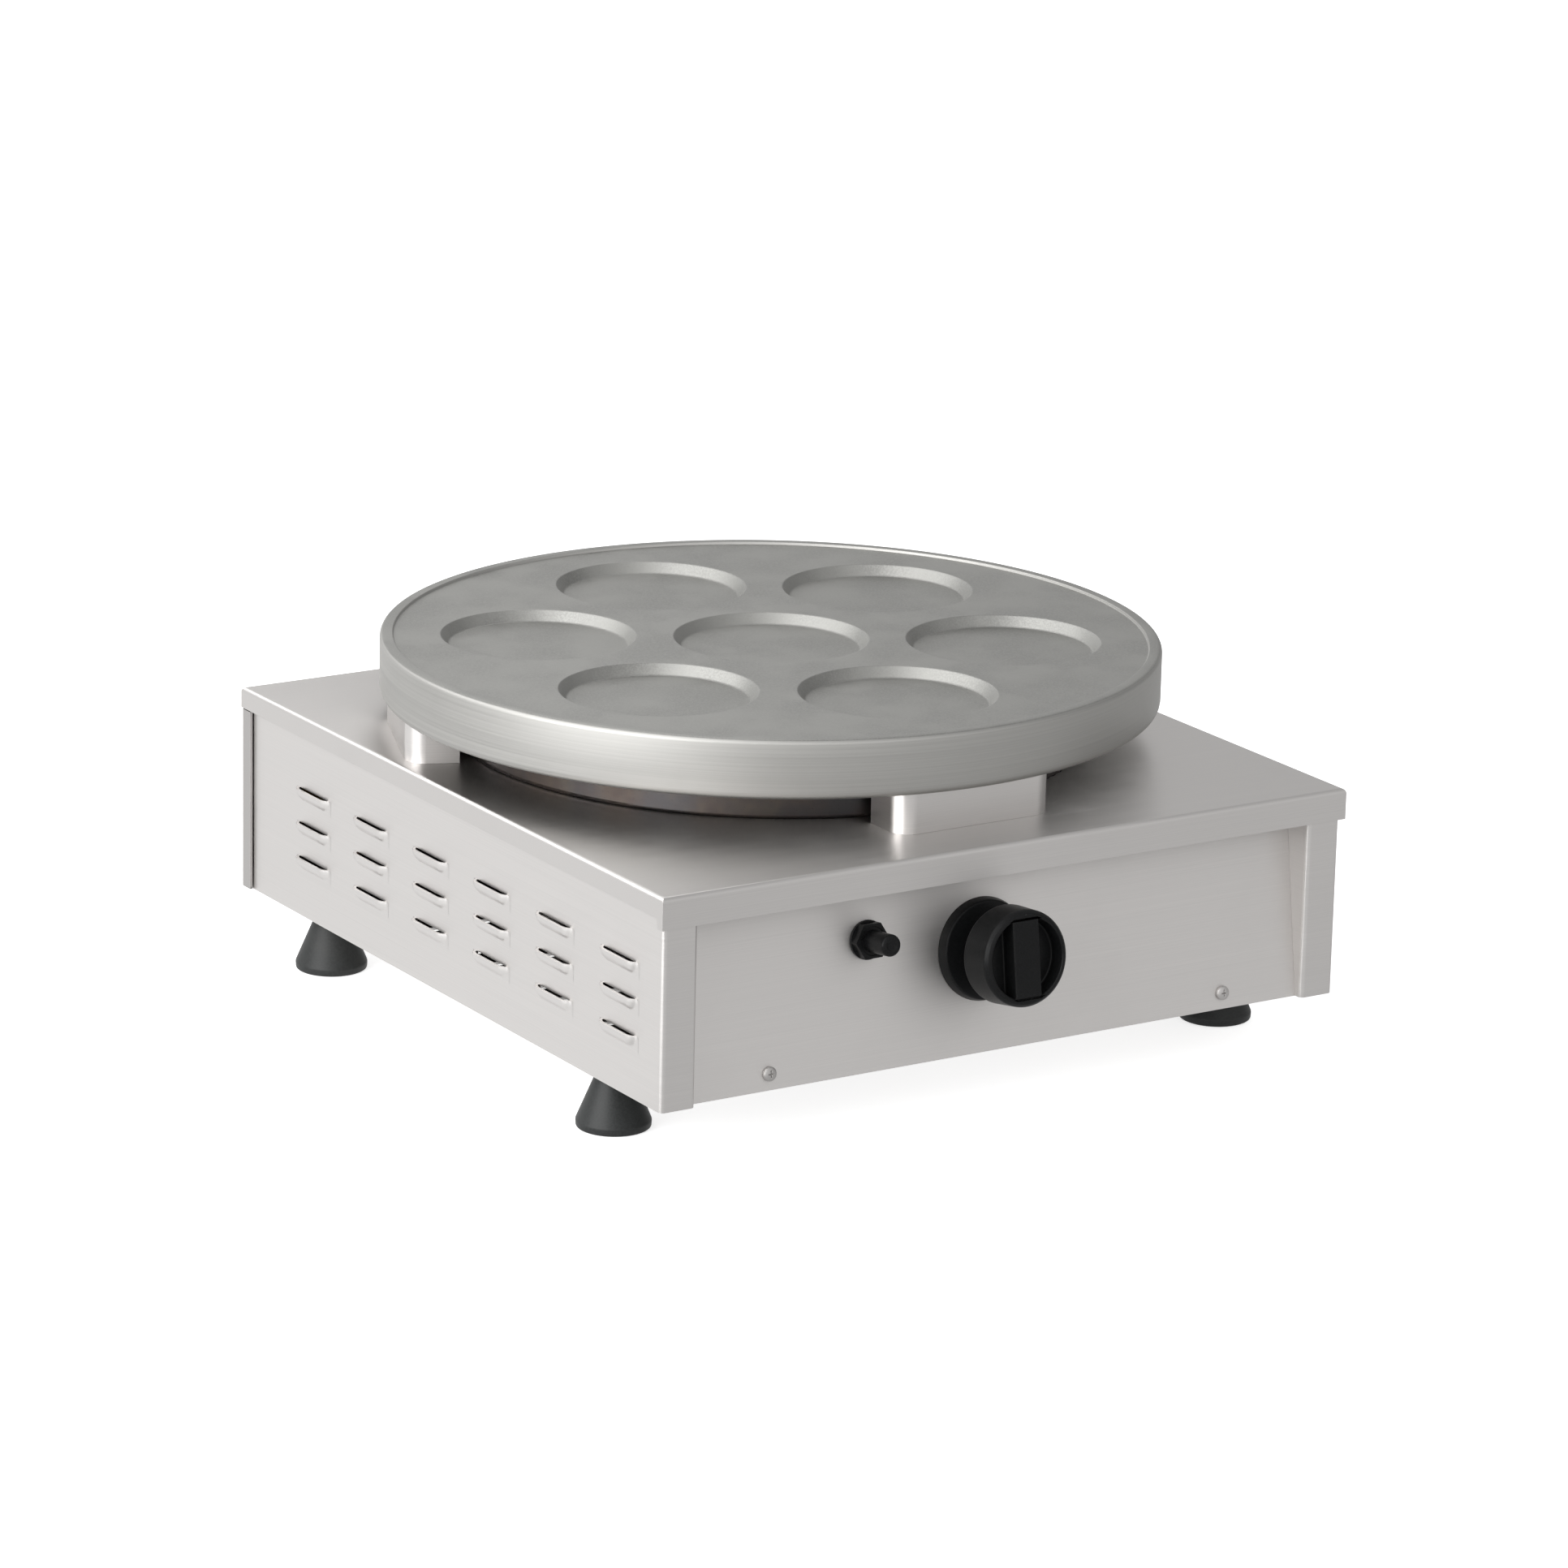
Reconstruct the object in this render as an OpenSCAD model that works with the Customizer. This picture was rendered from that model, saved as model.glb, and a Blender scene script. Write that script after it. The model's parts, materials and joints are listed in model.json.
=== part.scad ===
// Gas pancake machine: a folded stainless case on rubber feet carries a round
// cast cooking plate with seven shallow pits over a ring burner.
// Millimetres. X runs to the right, Y to the back, Z up. The origin lies on the
// table, below the middle of the whole machine.

/* [Case] */
// Width of the top cover
case_w = 401; // [380:1:460]
// Depth of the top cover
case_d = 426; // [405:1:480]
// Height of the case without its feet
case_h = 108; // [100:1:140]
// Thickness of the case sheet
sheet_t = 1.5; // [1:0.1:2]
// Outer radius of a fold in the sheet
bend_r = 2.5; // [2.3:0.1:4]
// Air left between a lip and the panel that it laps over
lap_gap = 0.5; // [0.3:0.1:1]
// Depth of the top cover's front lip
front_lip_h = 16; // [12:0.5:22]
// Depth of the top cover's side and back lips
side_lip_h = 11; // [8:0.5:12]
// Width of the back panel's lips along the sides
back_lip_w = 10; // [7:0.5:14]
// Width of the side panels' front strips
strip_w = 19.5; // [14:0.5:26]
// Width of the side panels' rear, top and front panel's top folds
fold_w = 15; // [12:0.5:18]
// Width of the side panels' bottom folds, which the feet carry
bottom_fold_w = 34; // [32:0.5:44]
// Gap between the edge of an inner sheet and the wall beside it
edge_gap = 0.5; // [0.3:0.1:1]
// Height of the base plate's front upstand
upstand_h = 14; // [12:0.5:18]
// Length of an air slot in the base plate
slot_l = 40; // [30:1:50]
// Width of an air slot in the base plate
slot_w = 6; // [4:0.5:8]
// Spacing of the air slots
slot_pitch = 22; // [16:1:26]
// Air slots in each of the two rows
slot_count = 9; // [5:1:10]
// Distance of a row of air slots from the case's side
slot_inset = 62; // [56:1:66]

/* [Louvres] */
// Length of a pressed louvre's straight part
louvre_l = 21; // [14:0.5:26]
// Radius of a louvre's round back
louvre_r = 7; // [6:0.5:8]
// Reach of a louvre out of the side panel
louvre_out = 3.5; // [2.5:0.1:4]
// Louvres along the side
louvre_cols = 6; // [4:1:6]
// Louvres one above the other
louvre_rows = 3; // [2:1:3]
// Spacing of the louvres along the side
louvre_pitch_y = 61.6; // [50:0.2:62]
// Spacing of the louvres up the side
louvre_pitch_z = 18.5; // [16:0.5:19]
// Middle of the louvre field in front of the case's middle
louvre_mid_y = 17; // [8:0.5:20]
// Height of the lowest louvre's mouth over the case's bottom
louvre_low_z = 32; // [28:0.5:38]

/* [Control panel] */
// Lean of the control panel away from the upright
panel_tilt = 8; // [4:0.5:10]
// Depth of the control panel's foot behind the front strips
panel_recess = 5; // [3:0.5:9]
// Distance of a panel screw from the middle
panel_screw_x = 134; // [100:1:150]
// Height of the panel screws along the panel
panel_screw_u = 8; // [7:0.5:10]

/* [Cooking plate] */
// Diameter of the cooking plate
plate_d = 400; // [380:1:420]
// Height of the cooking plate's rim
plate_h = 30.5; // [26:0.5:36]
// Air between the top cover and the cooking plate
plate_gap = 20.5; // [19:0.5:30]
// Plate's centre behind the middle of the case
plate_back = 13.5; // [5:0.5:20]
// Width of the raised lip round the plate
plate_lip_w = 7; // [5:0.5:10]
// Height of the raised lip
plate_lip_h = 1.5; // [1:0.1:3]
// Rounding of the plate's upper edge
plate_top_r = 2.5; // [1.5:0.1:4]
// Rounding of the plate's lower edge
plate_low_r = 4; // [2:0.5:6]
// Width of the thick outer ring on the plate's underside
plate_ring_w = 50; // [48:1:60]
// Depth of the hollow in the plate's underside
plate_hollow_h = 15; // [10:0.5:17]
// Diameter of a pit at its mouth
pit_d = 100; // [85:1:106]
// Depth of a pit
pit_h = 5.5; // [4.5:0.1:7]
// Run of a pit's sloping wall
pit_run = 4; // [2:0.5:6]
// Distance of the outer pits from the plate's centre
pit_circle_r = 119; // [114:0.5:121]

/* [Plate supports] */
// Distance of a support's face from the plate's edge
support_inset = 7; // [5:0.5:10]
// Length of a support along the plate's edge
support_l = 90; // [76:1:100]
// Depth of a support towards the plate's middle
support_deep = 27; // [24:0.5:32]
// Outer radius of a support's upright bends
support_bend_r = 10; // [6:0.5:12]
// Turn of the two side supports towards the plate's back
support_swing = 22; // [16:1:30]
// Thickness of a support's sheet
support_t = 2; // [1.5:0.1:2.5]
// Spacing of the two screws in a support's foot
support_screw_gap = 54; // [44:1:58]
// Diameter of the studs that hold the plate
stud_d = 8; // [6:1:10]
// Depth of a stud in the plate
stud_deep = 12; // [8:1:14]

/* [Flame guard] */
// Height of the flame guard over the top cover
guard_h = 14; // [10:0.5:17]
// Air between the flame guard and a plate support
guard_gap = 3; // [1.5:0.5:5]
// Width of the top cover's opening beyond the burner ring
mouth_air = 7; // [5:0.5:12]
// Least width of the flame guard's foot
guard_foot_w = 10; // [8:0.5:14]
// Width of the top cover inside the flame guard's foot
guard_seat = 3; // [1:0.5:6]
// Rivets in the flame guard's foot
rivet_count = 6; // [3:1:8]
// Diameter of a rivet
rivet_d = 4; // [3:0.5:5]

/* [Burner] */
// Radius of the burner ring at the middle of its tube
burner_r = 95; // [80:1:98]
// Diameter of the burner ring's tube
burner_tube_d = 28; // [26:0.5:30]
// Wall of the burner's tubes
burner_wall = 1.5; // [1:0.1:2]
// Depth of the burner's middle below the top cover
burner_drop = 30; // [28:0.5:34]
// Flame ports round the burner
port_count = 36; // [12:1:48]
// Diameter of a flame port
port_d = 2.4; // [1.5:0.1:3]
// Lean of the flame ports out from the upright
port_lean = 30; // [0:1:45]
// Direction of the mixer tube, from +X
mixer_angle = -60; // [-64:1:-52]
// Outer diameter of the mixer tube
mixer_d = 22; // [20:0.5:23]
// Length of the socket that takes the mixer tube
mixer_socket_l = 34; // [30:0.5:38]
// Depth of the mixer tube in its socket
mixer_deep = 16; // [10:0.5:17]
// Length of the mixer tube
mixer_l = 62; // [56:0.5:66]
// Thickness of the mixer tube's end
mixer_end_t = 3; // [2:0.5:5]
// Length of the air windows in the mixer tube
window_l = 14; // [10:0.5:18]
// Width of the air windows in the mixer tube
window_w = 10; // [6:0.5:11]
// Directions of the three burner legs, from the first one
leg_angle = -105; // [-110:1:-100]
// Thickness of a burner leg
leg_t = 2; // [1.5:0.1:3]
// Width of a burner leg beyond the tube on each side
leg_side = 9; // [8:0.5:12]
// Length of a burner leg's foot
leg_foot_l = 22; // [18:0.5:28]

/* [Gas train] */
// Barrel diameter of the gas valve
valve_d = 26; // [22:0.5:28]
// Length of the valve's barrel behind the panel
valve_l = 44; // [42:0.5:48]
// Diameter of the valve's threaded neck
valve_neck_d = 16; // [14:0.5:18]
// Length of the valve's neck in front of the panel
valve_neck_l = 3.9; // [3.6:0.1:4.5]
// Reach of the valve's two pipe bosses from its axis
boss_reach = 22; // [20:0.5:26]
// Diameter of the valve's two pipe bosses
boss_d = 14; // [12:0.5:16]
// Distance of the bosses behind the panel
boss_back = 38; // [34:0.5:39]
// Width across flats of the valve's lock nut
valve_nut_af = 22; // [20:0.5:23]
// Thickness of the valve's lock nut
valve_nut_h = 3.5; // [2.5:0.1:3.5]
// Diameter of the valve's stem
stem_d = 8; // [6:0.5:9]
// Depth of the stem's inner end behind the panel
stem_back = 28; // [24:0.5:30]
// Distance of the stem's outer end from the panel
stem_reach = 32; // [28:0.5:34]
// Flat on the stem, measured from its axis
stem_flat = 2.5; // [2:0.1:2.8]
// Diameter of the push rod that opens the safety valve
rod_d = 5; // [3:0.5:5]
// Length of the push rod
rod_l = 15; // [13:0.5:15.5]
// Diameter of the safety magnet behind the valve
magnet_d = 18; // [14:0.5:20]
// Length of the safety magnet
magnet_l = 18; // [14:0.5:20]
// Outer diameter of the gas pipes
pipe_d = 8; // [6:0.5:8]
// Bend radius of the gas pipes at their middle
pipe_bend = 12; // [9:0.5:13]
// Thinning of a pipe where it is bent
bend_thin = 0.05; // [0.02:0.01:0.1]
// Straight part that a pipe keeps at each end of a bend
bend_lap = 0.3; // [0.2:0.05:0.4]
// Width across flats of the injector
injector_af = 13; // [11:0.5:15]
// Length of the injector's head
injector_h = 8; // [6:0.5:10]
// Diameter of the injector's thread
injector_d = 8; // [6:0.5:9]
// Diameter of the injector's jet
jet_d = 1.2; // [0.8:0.1:2]
// Distance of the gas inlet from the case's left side
inlet_inset = 50; // [46:0.5:70]
// Outer diameter of the gas inlet's thread
inlet_d = 20.955; // [16:0.005:22]
// Length of the gas inlet's thread
inlet_l = 18; // [14:0.5:22]
// Width across flats of the gas inlet's collar
inlet_af = 27; // [25:0.5:32]
// Thickness of the gas inlet's collar and of its lock nut
inlet_collar_h = 6; // [4:0.5:8]
// Length of the gas inlet inside the case
inlet_in_l = 18; // [14:0.5:24]
// Bore of the gas inlet
inlet_bore_d = 13; // [11:0.5:14]
// Depth of the pipe in the gas inlet
inlet_socket_l = 8; // [6:0.5:10]

/* [Flame safety] */
// Distance of the probe and the spark tip from the burner's centre line
probe_off = 22; // [21:0.5:25]
// Diameter of the flame probe
probe_d = 6; // [5:0.5:7]
// Diameter of the flame probe's lead
lead_d = 3; // [2:0.5:3.5]
// Bend radius of the probe's lead and the spark lead
lead_bend = 7; // [6:0.5:9]
// Length of the flame probe
probe_l = 32; // [26:0.5:38]
// Depth of the probe's tip below the top cover
probe_drop = 9; // [6:0.5:12]
// Direction of the spark electrode from the first burner leg
spark_angle = -10; // [-12:0.5:-9]
// Diameter of the spark electrode's ceramic
ceramic_d = 8; // [6:0.5:9]
// Length of the spark electrode's ceramic
ceramic_l = 34; // [28:0.5:38]
// Diameter of the spark wire
wire_d = 2; // [1.5:0.1:3]
// Reach of the spark wire above and below its ceramic
wire_l = 9; // [6:0.5:12]
// Diameter of the spark lead
spark_lead_d = 5; // [4:0.5:6]
// Depth of the holder's sheet below the burner's middle
holder_drop = 9; // [6:0.5:11]
// Width of the holder's sheet from the burner outwards
holder_w = 17; // [15:0.5:20]
// Length of the holder's sheet along the burner
holder_l = 66; // [62:1:76]
// Length of the holder's tab down the burner leg
holder_tab_h = 20; // [12:0.5:24]

/* [Knob] */
// Place of the knob to the right of the middle
knob_x = -8; // [-20:0.5:0]
// Height of the knob's axis along the panel
knob_u = 51.5; // [48:0.5:54]
// Diameter of the knob at its back edge
knob_d = 50; // [44:0.5:52]
// Diameter of the knob's front
knob_front_d = 47; // [42:0.5:49]
// Thickness of the knob's disc
knob_h = 20; // [16:0.5:24]
// Diameter of the knob's neck
knob_neck_d = 22; // [18:0.5:26]
// Length of the knob's neck
knob_neck_l = 9.5; // [7:0.5:10]
// Width of the grip bar across the knob
grip_w = 15; // [12:0.5:18]
// Depth of the hollows beside the grip bar
grip_deep = 9; // [6:0.5:10]
// Wall left round the hollows
grip_rim = 3; // [2:0.5:4]
// Length of the pointer groove
pointer_l = 11; // [7:0.5:14]
// Width of the pointer groove
pointer_w = 2; // [1:0.1:3]
// Depth of the pointer groove
pointer_deep = 0.6; // [0.3:0.1:1]
// Travel of the knob when it is pushed in
knob_travel = 4; // [2.5:0.5:4.5]
// Air left behind the knob's neck when it is pushed in
knob_air = 1; // [0.5:0.1:2]
// Diameter of the bezel behind the knob
bezel_d = 52; // [46:0.5:56]
// Thickness of the bezel
bezel_h = 5.5; // [5:0.1:6]
// Wall of the bezel's face
bezel_face_t = 1.5; // [1:0.1:1.5]

/* [Igniter] */
// Place of the igniter to the right of the middle
igniter_x = -74.5; // [-90:0.5:-66]
// Height of the igniter's axis along the panel
igniter_u = 65.5; // [62:0.5:68]
// Diameter of the igniter's barrel
igniter_d = 16; // [14:0.5:17]
// Length of the igniter's barrel behind the panel
igniter_l = 46; // [40:0.5:48]
// Diameter of the igniter's threaded neck
igniter_neck_d = 14; // [13.5:0.1:14.5]
// Length of the igniter's neck in front of the panel
igniter_neck_l = 5.5; // [4.5:0.1:6]
// Width across flats of the igniter's collar
collar_af = 17; // [16:0.5:19]
// Thickness of the igniter's collar
collar_h = 6; // [4:0.5:8]
// Diameter of the igniter's button
button_d = 11; // [10:0.5:11]
// Distance of the button's tip from the panel
button_reach = 23; // [19:0.5:26]
// Length of the button inside the panel
button_back = 10; // [8:0.5:14]
// Rounding of the button's tip
button_r = 2; // [1:0.5:3]
// Travel of the button
button_travel = 5; // [3:0.5:6]

/* [Feet] */
// Height of a foot
foot_h = 31; // [24:0.5:40]
// Diameter of a foot's base
foot_d = 37.5; // [30:0.5:40]
// Diameter of a foot's top
foot_top_d = 18; // [16:0.5:22]
// Height of the upright edge round a foot's base
foot_edge_h = 4; // [2:0.5:6]
// Length of the straight part under a foot's top
foot_neck_h = 4; // [2:0.5:6]
// Distance of a foot's middle from the case's side
foot_inset_x = 20.5; // [19:0.5:23]
// Distance of the front feet from the case's front
foot_inset_front = 76; // [60:1:90]
// Distance of the back feet from the case's back
foot_inset_back = 62; // [50:1:80]
// Diameter of the hollow in a foot's base
foot_hollow_d = 14; // [12.5:0.5:15]
// Depth of the hollow in a foot's base
foot_hollow_h = 10; // [6:0.5:12]

/* [Fasteners] */
// Diameter of the foot screws
foot_screw_d = 6; // [5:0.5:6.5]
// Diameter of the support and leg screws
screw_d = 5; // [4:0.5:5]
// Diameter of the panel screws
panel_screw_d = 4; // [3:0.5:5]
// Head diameter of a screw as a multiple of its thread
head_ratio = 1.8; // [1.6:0.1:1.9]
// Head height of a screw as a multiple of its thread
head_h_ratio = 0.6; // [0.5:0.05:0.7]
// Width across flats of a nut as a multiple of its thread
nut_ratio = 1.65; // [1.5:0.05:1.7]
// Height of a nut as a multiple of its thread
nut_h_ratio = 0.8; // [0.6:0.05:0.8]
// Thread that stands out of a nut
thread_out = 1.5; // [0.5:0.5:2]

/* [Fits] */
// Radial clearance of a part that turns or slides
run_fit = 0.05; // [0.02:0.01:0.08]
// Radial clearance of a part that is pushed together and stays
push_fit = 0.1; // [0.05:0.01:0.2]
// Radial clearance of a screw in its hole
screw_fit = 0.3; // [0.2:0.05:0.5]

/* [Hidden] */
$fn = 72;
// Overshoot of a cutting solid, and a length longer than the machine
cut = 1;
far = 1000;
hex_sides = 6;
// Colours of the finishes
steel = "silver";
casting = "darkgray";
zinc = "lightsteelblue";
brass = "goldenrod";
copper = "peru";
black = "black";
ceramic = "white";

// Heights and faces of the case
case_z = foot_h;
top_z = foot_h + case_h;
sheet_z = top_z - sheet_t;
wall_x = case_w / 2 - sheet_t - lap_gap;
strip_y = -(case_d / 2 - sheet_t - lap_gap);
back_y = case_d / 2 - sheet_t;
strip_x = wall_x - strip_w;
inner_x = wall_x - sheet_t - edge_gap;
panel_y = strip_y + panel_recess;
panel_top_y = panel_y + (sheet_z - case_z) * tan(panel_tilt);
base_z = case_z + 2 * sheet_t;
fold_y = panel_y + 3 * sheet_t;
top_fold_y = panel_top_y + 3 * sheet_t;

// Cooking plate, its supports and the flame guard
plate_y = plate_back;
plate_z = top_z + plate_gap;
plate_r = plate_d / 2;
face_z = plate_z + plate_h - plate_lip_h;
support_r = plate_r - support_inset;
support_mid_r = support_r - support_deep / 2;
support_angles = [-90, 180 - support_swing, support_swing];
guard_r = support_r - support_deep - guard_gap;
mouth_r = min(burner_r + burner_tube_d / 2 + mouth_air, guard_r - guard_foot_w - guard_seat);
guard_foot_r = mouth_r + guard_seat;
rivet_r = guard_foot_r + guard_foot_w / 2 - sheet_t;
pit_places = [
  [0, 0],
  for (i = [0:5]) pit_circle_r * [cos(60 * i + 30), sin(60 * i + 30)]
];

// Burner and mixer tube
burner_z = top_z - burner_drop;
tube_r = burner_tube_d / 2;
socket_end = burner_r + mixer_socket_l;
mixer_start = socket_end - mixer_deep;
mixer_end = mixer_start + mixer_l;
injector_end = mixer_end + injector_h;
leg_angles = [leg_angle, leg_angle + 120, leg_angle + 240];
leg_half = tube_r + leg_side;

// Control axes, measured from the panel's face
neck_back = sheet_t;
stem_bore = stem_back + knob_travel + edge_gap;
knob_back = bezel_h + knob_travel + knob_air;
knob_disc = knob_back + knob_neck_l;
knob_reach = knob_disc + knob_h;
knob_bore_end = stem_reach + edge_gap;
valve_back = neck_back + valve_l;
button_bore = button_back + button_travel + edge_gap;
igniter_back = neck_back + igniter_l;

// Gas inlet at the back
inlet_x = -(case_w / 2 - inlet_inset);
inlet_tip_y = case_d / 2 + inlet_collar_h + inlet_l;
inlet_inner_y = back_y - inlet_in_l;

// Feet
foot_x = case_w / 2 - foot_inset_x;
foot_ys = [-(case_d / 2 - foot_inset_front), case_d / 2 - foot_inset_back];

// The whole machine's middle along Y lies at the origin
knob_front_y = panel_y + knob_u * sin(panel_tilt) - knob_reach * cos(panel_tilt)
  - knob_front_d / 2 * sin(panel_tilt);
origin_y = -(knob_front_y + inlet_tip_y) / 2;

// A point in front of the panel: x across, u up the panel, s out of its face
function panel_point(x, u, s) = [
  x,
  panel_y + u * sin(panel_tilt) - s * cos(panel_tilt),
  case_z + u * cos(panel_tilt) + s * sin(panel_tilt)
];
// A point on the mixer tube's axis
function mixer_point(r) = [r * cos(mixer_angle), plate_y + r * sin(mixer_angle), burner_z];
function unit(v) = v / norm(v);
function turn(a, b) = atan2(norm(cross(a, b)), a * b);

// Flame probe and spark electrode stand beside the burner
probe_r = burner_r + probe_off;
probe_x = knob_x;
probe_y = plate_y - sqrt(probe_r * probe_r - probe_x * probe_x);
probe_top = top_z - probe_drop;
spark_x = probe_r * cos(leg_angle + spark_angle);
spark_y = plate_y + probe_r * sin(leg_angle + spark_angle);
ceramic_z = burner_z + tube_r - wire_l / 2 - ceramic_l;
holder_z = burner_z - holder_drop;
holder_r = burner_r + sqrt(tube_r * tube_r - pow(holder_drop - sheet_t, 2)) + cut;

// Routes of the pipes and leads: the gas inlet is level with the valve's bosses
magnet_end = valve_back + magnet_l;
boss_y = panel_point(0, knob_u, -boss_back)[1];
inlet_z = panel_point(0, knob_u, -boss_back)[2];
feed_end = injector_end + pipe_bend + pipe_d;
feed_route = [
  panel_point(knob_x + boss_reach, knob_u, -boss_back),
  [mixer_point(feed_end)[0], boss_y, inlet_z],
  mixer_point(feed_end),
  mixer_point(injector_end)
];
inlet_route = [
  panel_point(knob_x - boss_reach, knob_u, -boss_back),
  [inlet_x, boss_y, inlet_z],
  [inlet_x, inlet_inner_y + inlet_socket_l, inlet_z]
];
probe_bend_s = -(probe_y - panel_point(0, knob_u, 0)[1]) / cos(panel_tilt);
probe_route = [
  panel_point(knob_x, knob_u, -magnet_end),
  panel_point(knob_x, knob_u, probe_bend_s),
  [probe_x, probe_y, probe_top - probe_l + cut]
];
spark_route = [
  panel_point(igniter_x, igniter_u, -igniter_back),
  panel_point(igniter_x, igniter_u, -igniter_back - 2 * lead_bend),
  [spark_x, spark_y, ceramic_z - wire_l - 3 * lead_bend],
  [spark_x, spark_y, ceramic_z - wire_l]
];

module in_frame() {
  translate([0, origin_y, 0]) children();
}

// Children stand on the panel's face, with their Z out of it and their Y up it
module on_panel(x, u) {
  translate(panel_point(x, u, 0)) rotate([90 - panel_tilt, 0, 0]) children();
}

// Children lie round the plate's centre, with their X outwards
module round_plate(angle) {
  translate([0, plate_y, 0]) rotate(angle) children();
}

module at_each(places) {
  for (p = places) translate([p[0], p[1], 0]) children();
}

module hex_bar(af, h) {
  cylinder(d = af / cos(180 / hex_sides), h = h, $fn = hex_sides);
}

// The waste outside a rounded corner whose material fills the +X +Y quarter
module corner_waste(r) {
  difference() {
    translate([-cut, -cut]) square(r + cut);
    translate([r, r]) circle(r);
  }
}

module span(x0, y0, x1, y1) {
  translate([x0, y0]) square([x1 - x0, y1 - y0]);
}

module slab(x0, y0, z0, x1, y1, z1) {
  translate([x0, y0, z0]) cube([x1 - x0, y1 - y0, z1 - z0]);
}

// A pipe through the points, with round bends that are a little thinner
module bent_pipe(points, d, bend) {
  last = len(points) - 1;
  dirs = [for (i = [0:last - 1]) unit(points[i + 1] - points[i])];
  turns = [0, for (i = [1:last - 1]) turn(dirs[i - 1], dirs[i]), 0];
  trims = [for (t = turns) t > 0 ? bend * tan(t / 2) - bend_lap : 0];
  for (i = [0:last - 1]) {
    a = points[i] + trims[i] * dirs[i];
    b = points[i + 1] - trims[i + 1] * dirs[i];
    pipe_run(a, b, d);
  }
  for (i = [1:last - 1]) {
    start = points[i] - bend * tan(turns[i] / 2) * dirs[i - 1];
    inward = unit(dirs[i] - dirs[i - 1]);
    centre = points[i] + inward * bend / cos(turns[i] / 2);
    pipe_elbow(centre, unit(start - centre), dirs[i - 1], turns[i], d - 2 * bend_thin, bend);
  }
}

module pipe_run(a, b, d) {
  v = b - a;
  translate(a) rotate([0, acos(v[2] / norm(v)), atan2(v[1], v[0])]) cylinder(d = d, h = norm(v));
}

module pipe_elbow(centre, ex, ey, angle, d, bend) {
  ez = cross(ex, ey);
  multmatrix([
    [ex[0], ey[0], ez[0], centre[0]],
    [ex[1], ey[1], ez[1], centre[1]],
    [ex[2], ey[2], ez[2], centre[2]],
    [0, 0, 0, 1]
  ])
    rotate_extrude(angle = angle) translate([bend, 0]) circle(d = d);
}

// A pan head screw whose head sits on z = 0 and whose thread runs down
module screw(d, l) {
  cylinder(d = d * head_ratio, h = d * head_h_ratio);
  translate([0, 0, -l]) cylinder(d = d, h = l + cut / 2);
}

// A hex nut that stands on z = 0
module nut(d) {
  difference() {
    hex_bar(d * nut_ratio, d * nut_h_ratio);
    translate([0, 0, -cut]) cylinder(d = d + 2 * push_fit, h = d + 2 * cut);
  }
}

module screw_hole(d, l = far) {
  translate([0, 0, -l / 2]) cylinder(d = d + 2 * screw_fit, h = l);
}

// A solid block below z = 0 whose four upper edges are rounded
module pan_block(w, d, h, r) {
  intersection() {
    rotate([90, 0, 0]) linear_extrude(height = d, center = true) pan_side(w, h, r);
    rotate([90, 0, 90]) linear_extrude(height = w, center = true) pan_side(d, h, r);
  }
}

module pan_side(w, h, r) {
  difference() {
    span(-w / 2, -h, w / 2, 0);
    translate([-w / 2, 0]) mirror([0, 1]) corner_waste(r);
    translate([w / 2, 0]) rotate(180) corner_waste(r);
  }
}

module top_cover() {
  color(steel) in_frame() difference() {
    translate([0, 0, top_z]) difference() {
      pan_block(case_w, case_d, front_lip_h, bend_r);
      translate([0, 0, -sheet_t])
        pan_block(case_w - 2 * sheet_t, case_d - 2 * sheet_t, front_lip_h, bend_r - sheet_t);
      slab(-case_w, -case_d / 2 + 2 * bend_r, -far, case_w, case_d, -side_lip_h);
    }
    round_plate(0) cylinder(r = mouth_r, h = far);
    for (a = support_angles) round_plate(a) support_screw_places() screw_hole(screw_d);
    rivet_places() screw_hole(rivet_d);
  }
}

module support_screw_places() {
  for (s = [-1, 1]) translate([support_mid_r, s * support_screw_gap / 2, 0]) children();
}

module rivet_places() {
  for (i = [0:rivet_count - 1]) round_plate(i * 360 / rivet_count) translate([rivet_r, 0, 0]) children();
}

// Plan of the right side panel: wall, front strip and rear fold
module side_plan() {
  difference() {
    union() {
      span(wall_x - sheet_t, strip_y, wall_x, back_y);
      span(strip_x, strip_y, wall_x, strip_y + sheet_t);
      span(wall_x - fold_w, back_y - sheet_t, wall_x, back_y);
    }
    translate([wall_x, strip_y]) mirror([1, 0]) corner_waste(bend_r);
    translate([strip_x, strip_y]) corner_waste(bend_r);
    translate([wall_x, back_y]) rotate(180) corner_waste(bend_r);
  }
}

// The strip's inner edge turns back as far as the leaning control panel
module strip_return() {
  difference() {
    translate([0, 0, case_z]) linear_extrude(height = sheet_z - case_z) difference() {
      span(strip_x, strip_y, strip_x + sheet_t, panel_top_y);
      translate([strip_x, strip_y]) corner_waste(bend_r);
    }
    on_panel(0, 0) slab(-far, -far, -far, far, far, 0);
  }
}

module louvre_places() {
  for (i = [0:louvre_cols - 1])
    for (j = [0:louvre_rows - 1])
      translate([
        wall_x,
        (i - (louvre_cols - 1) / 2) * louvre_pitch_y - louvre_mid_y,
        case_z + louvre_low_z + j * louvre_pitch_z
      ])
        children();
}

// The lower half of a round-ended bar along Y, whose flat top lies on z = 0
module louvre_form(r) {
  translate([louvre_out - louvre_r, 0, 0]) difference() {
    union() {
      rotate([90, 0, 0]) cylinder(r = r, h = louvre_l, center = true);
      for (s = [-1, 1]) translate([0, s * louvre_l / 2, 0]) sphere(r = r);
    }
    slab(-far, -far, 0, far, far, far);
  }
}

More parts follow.
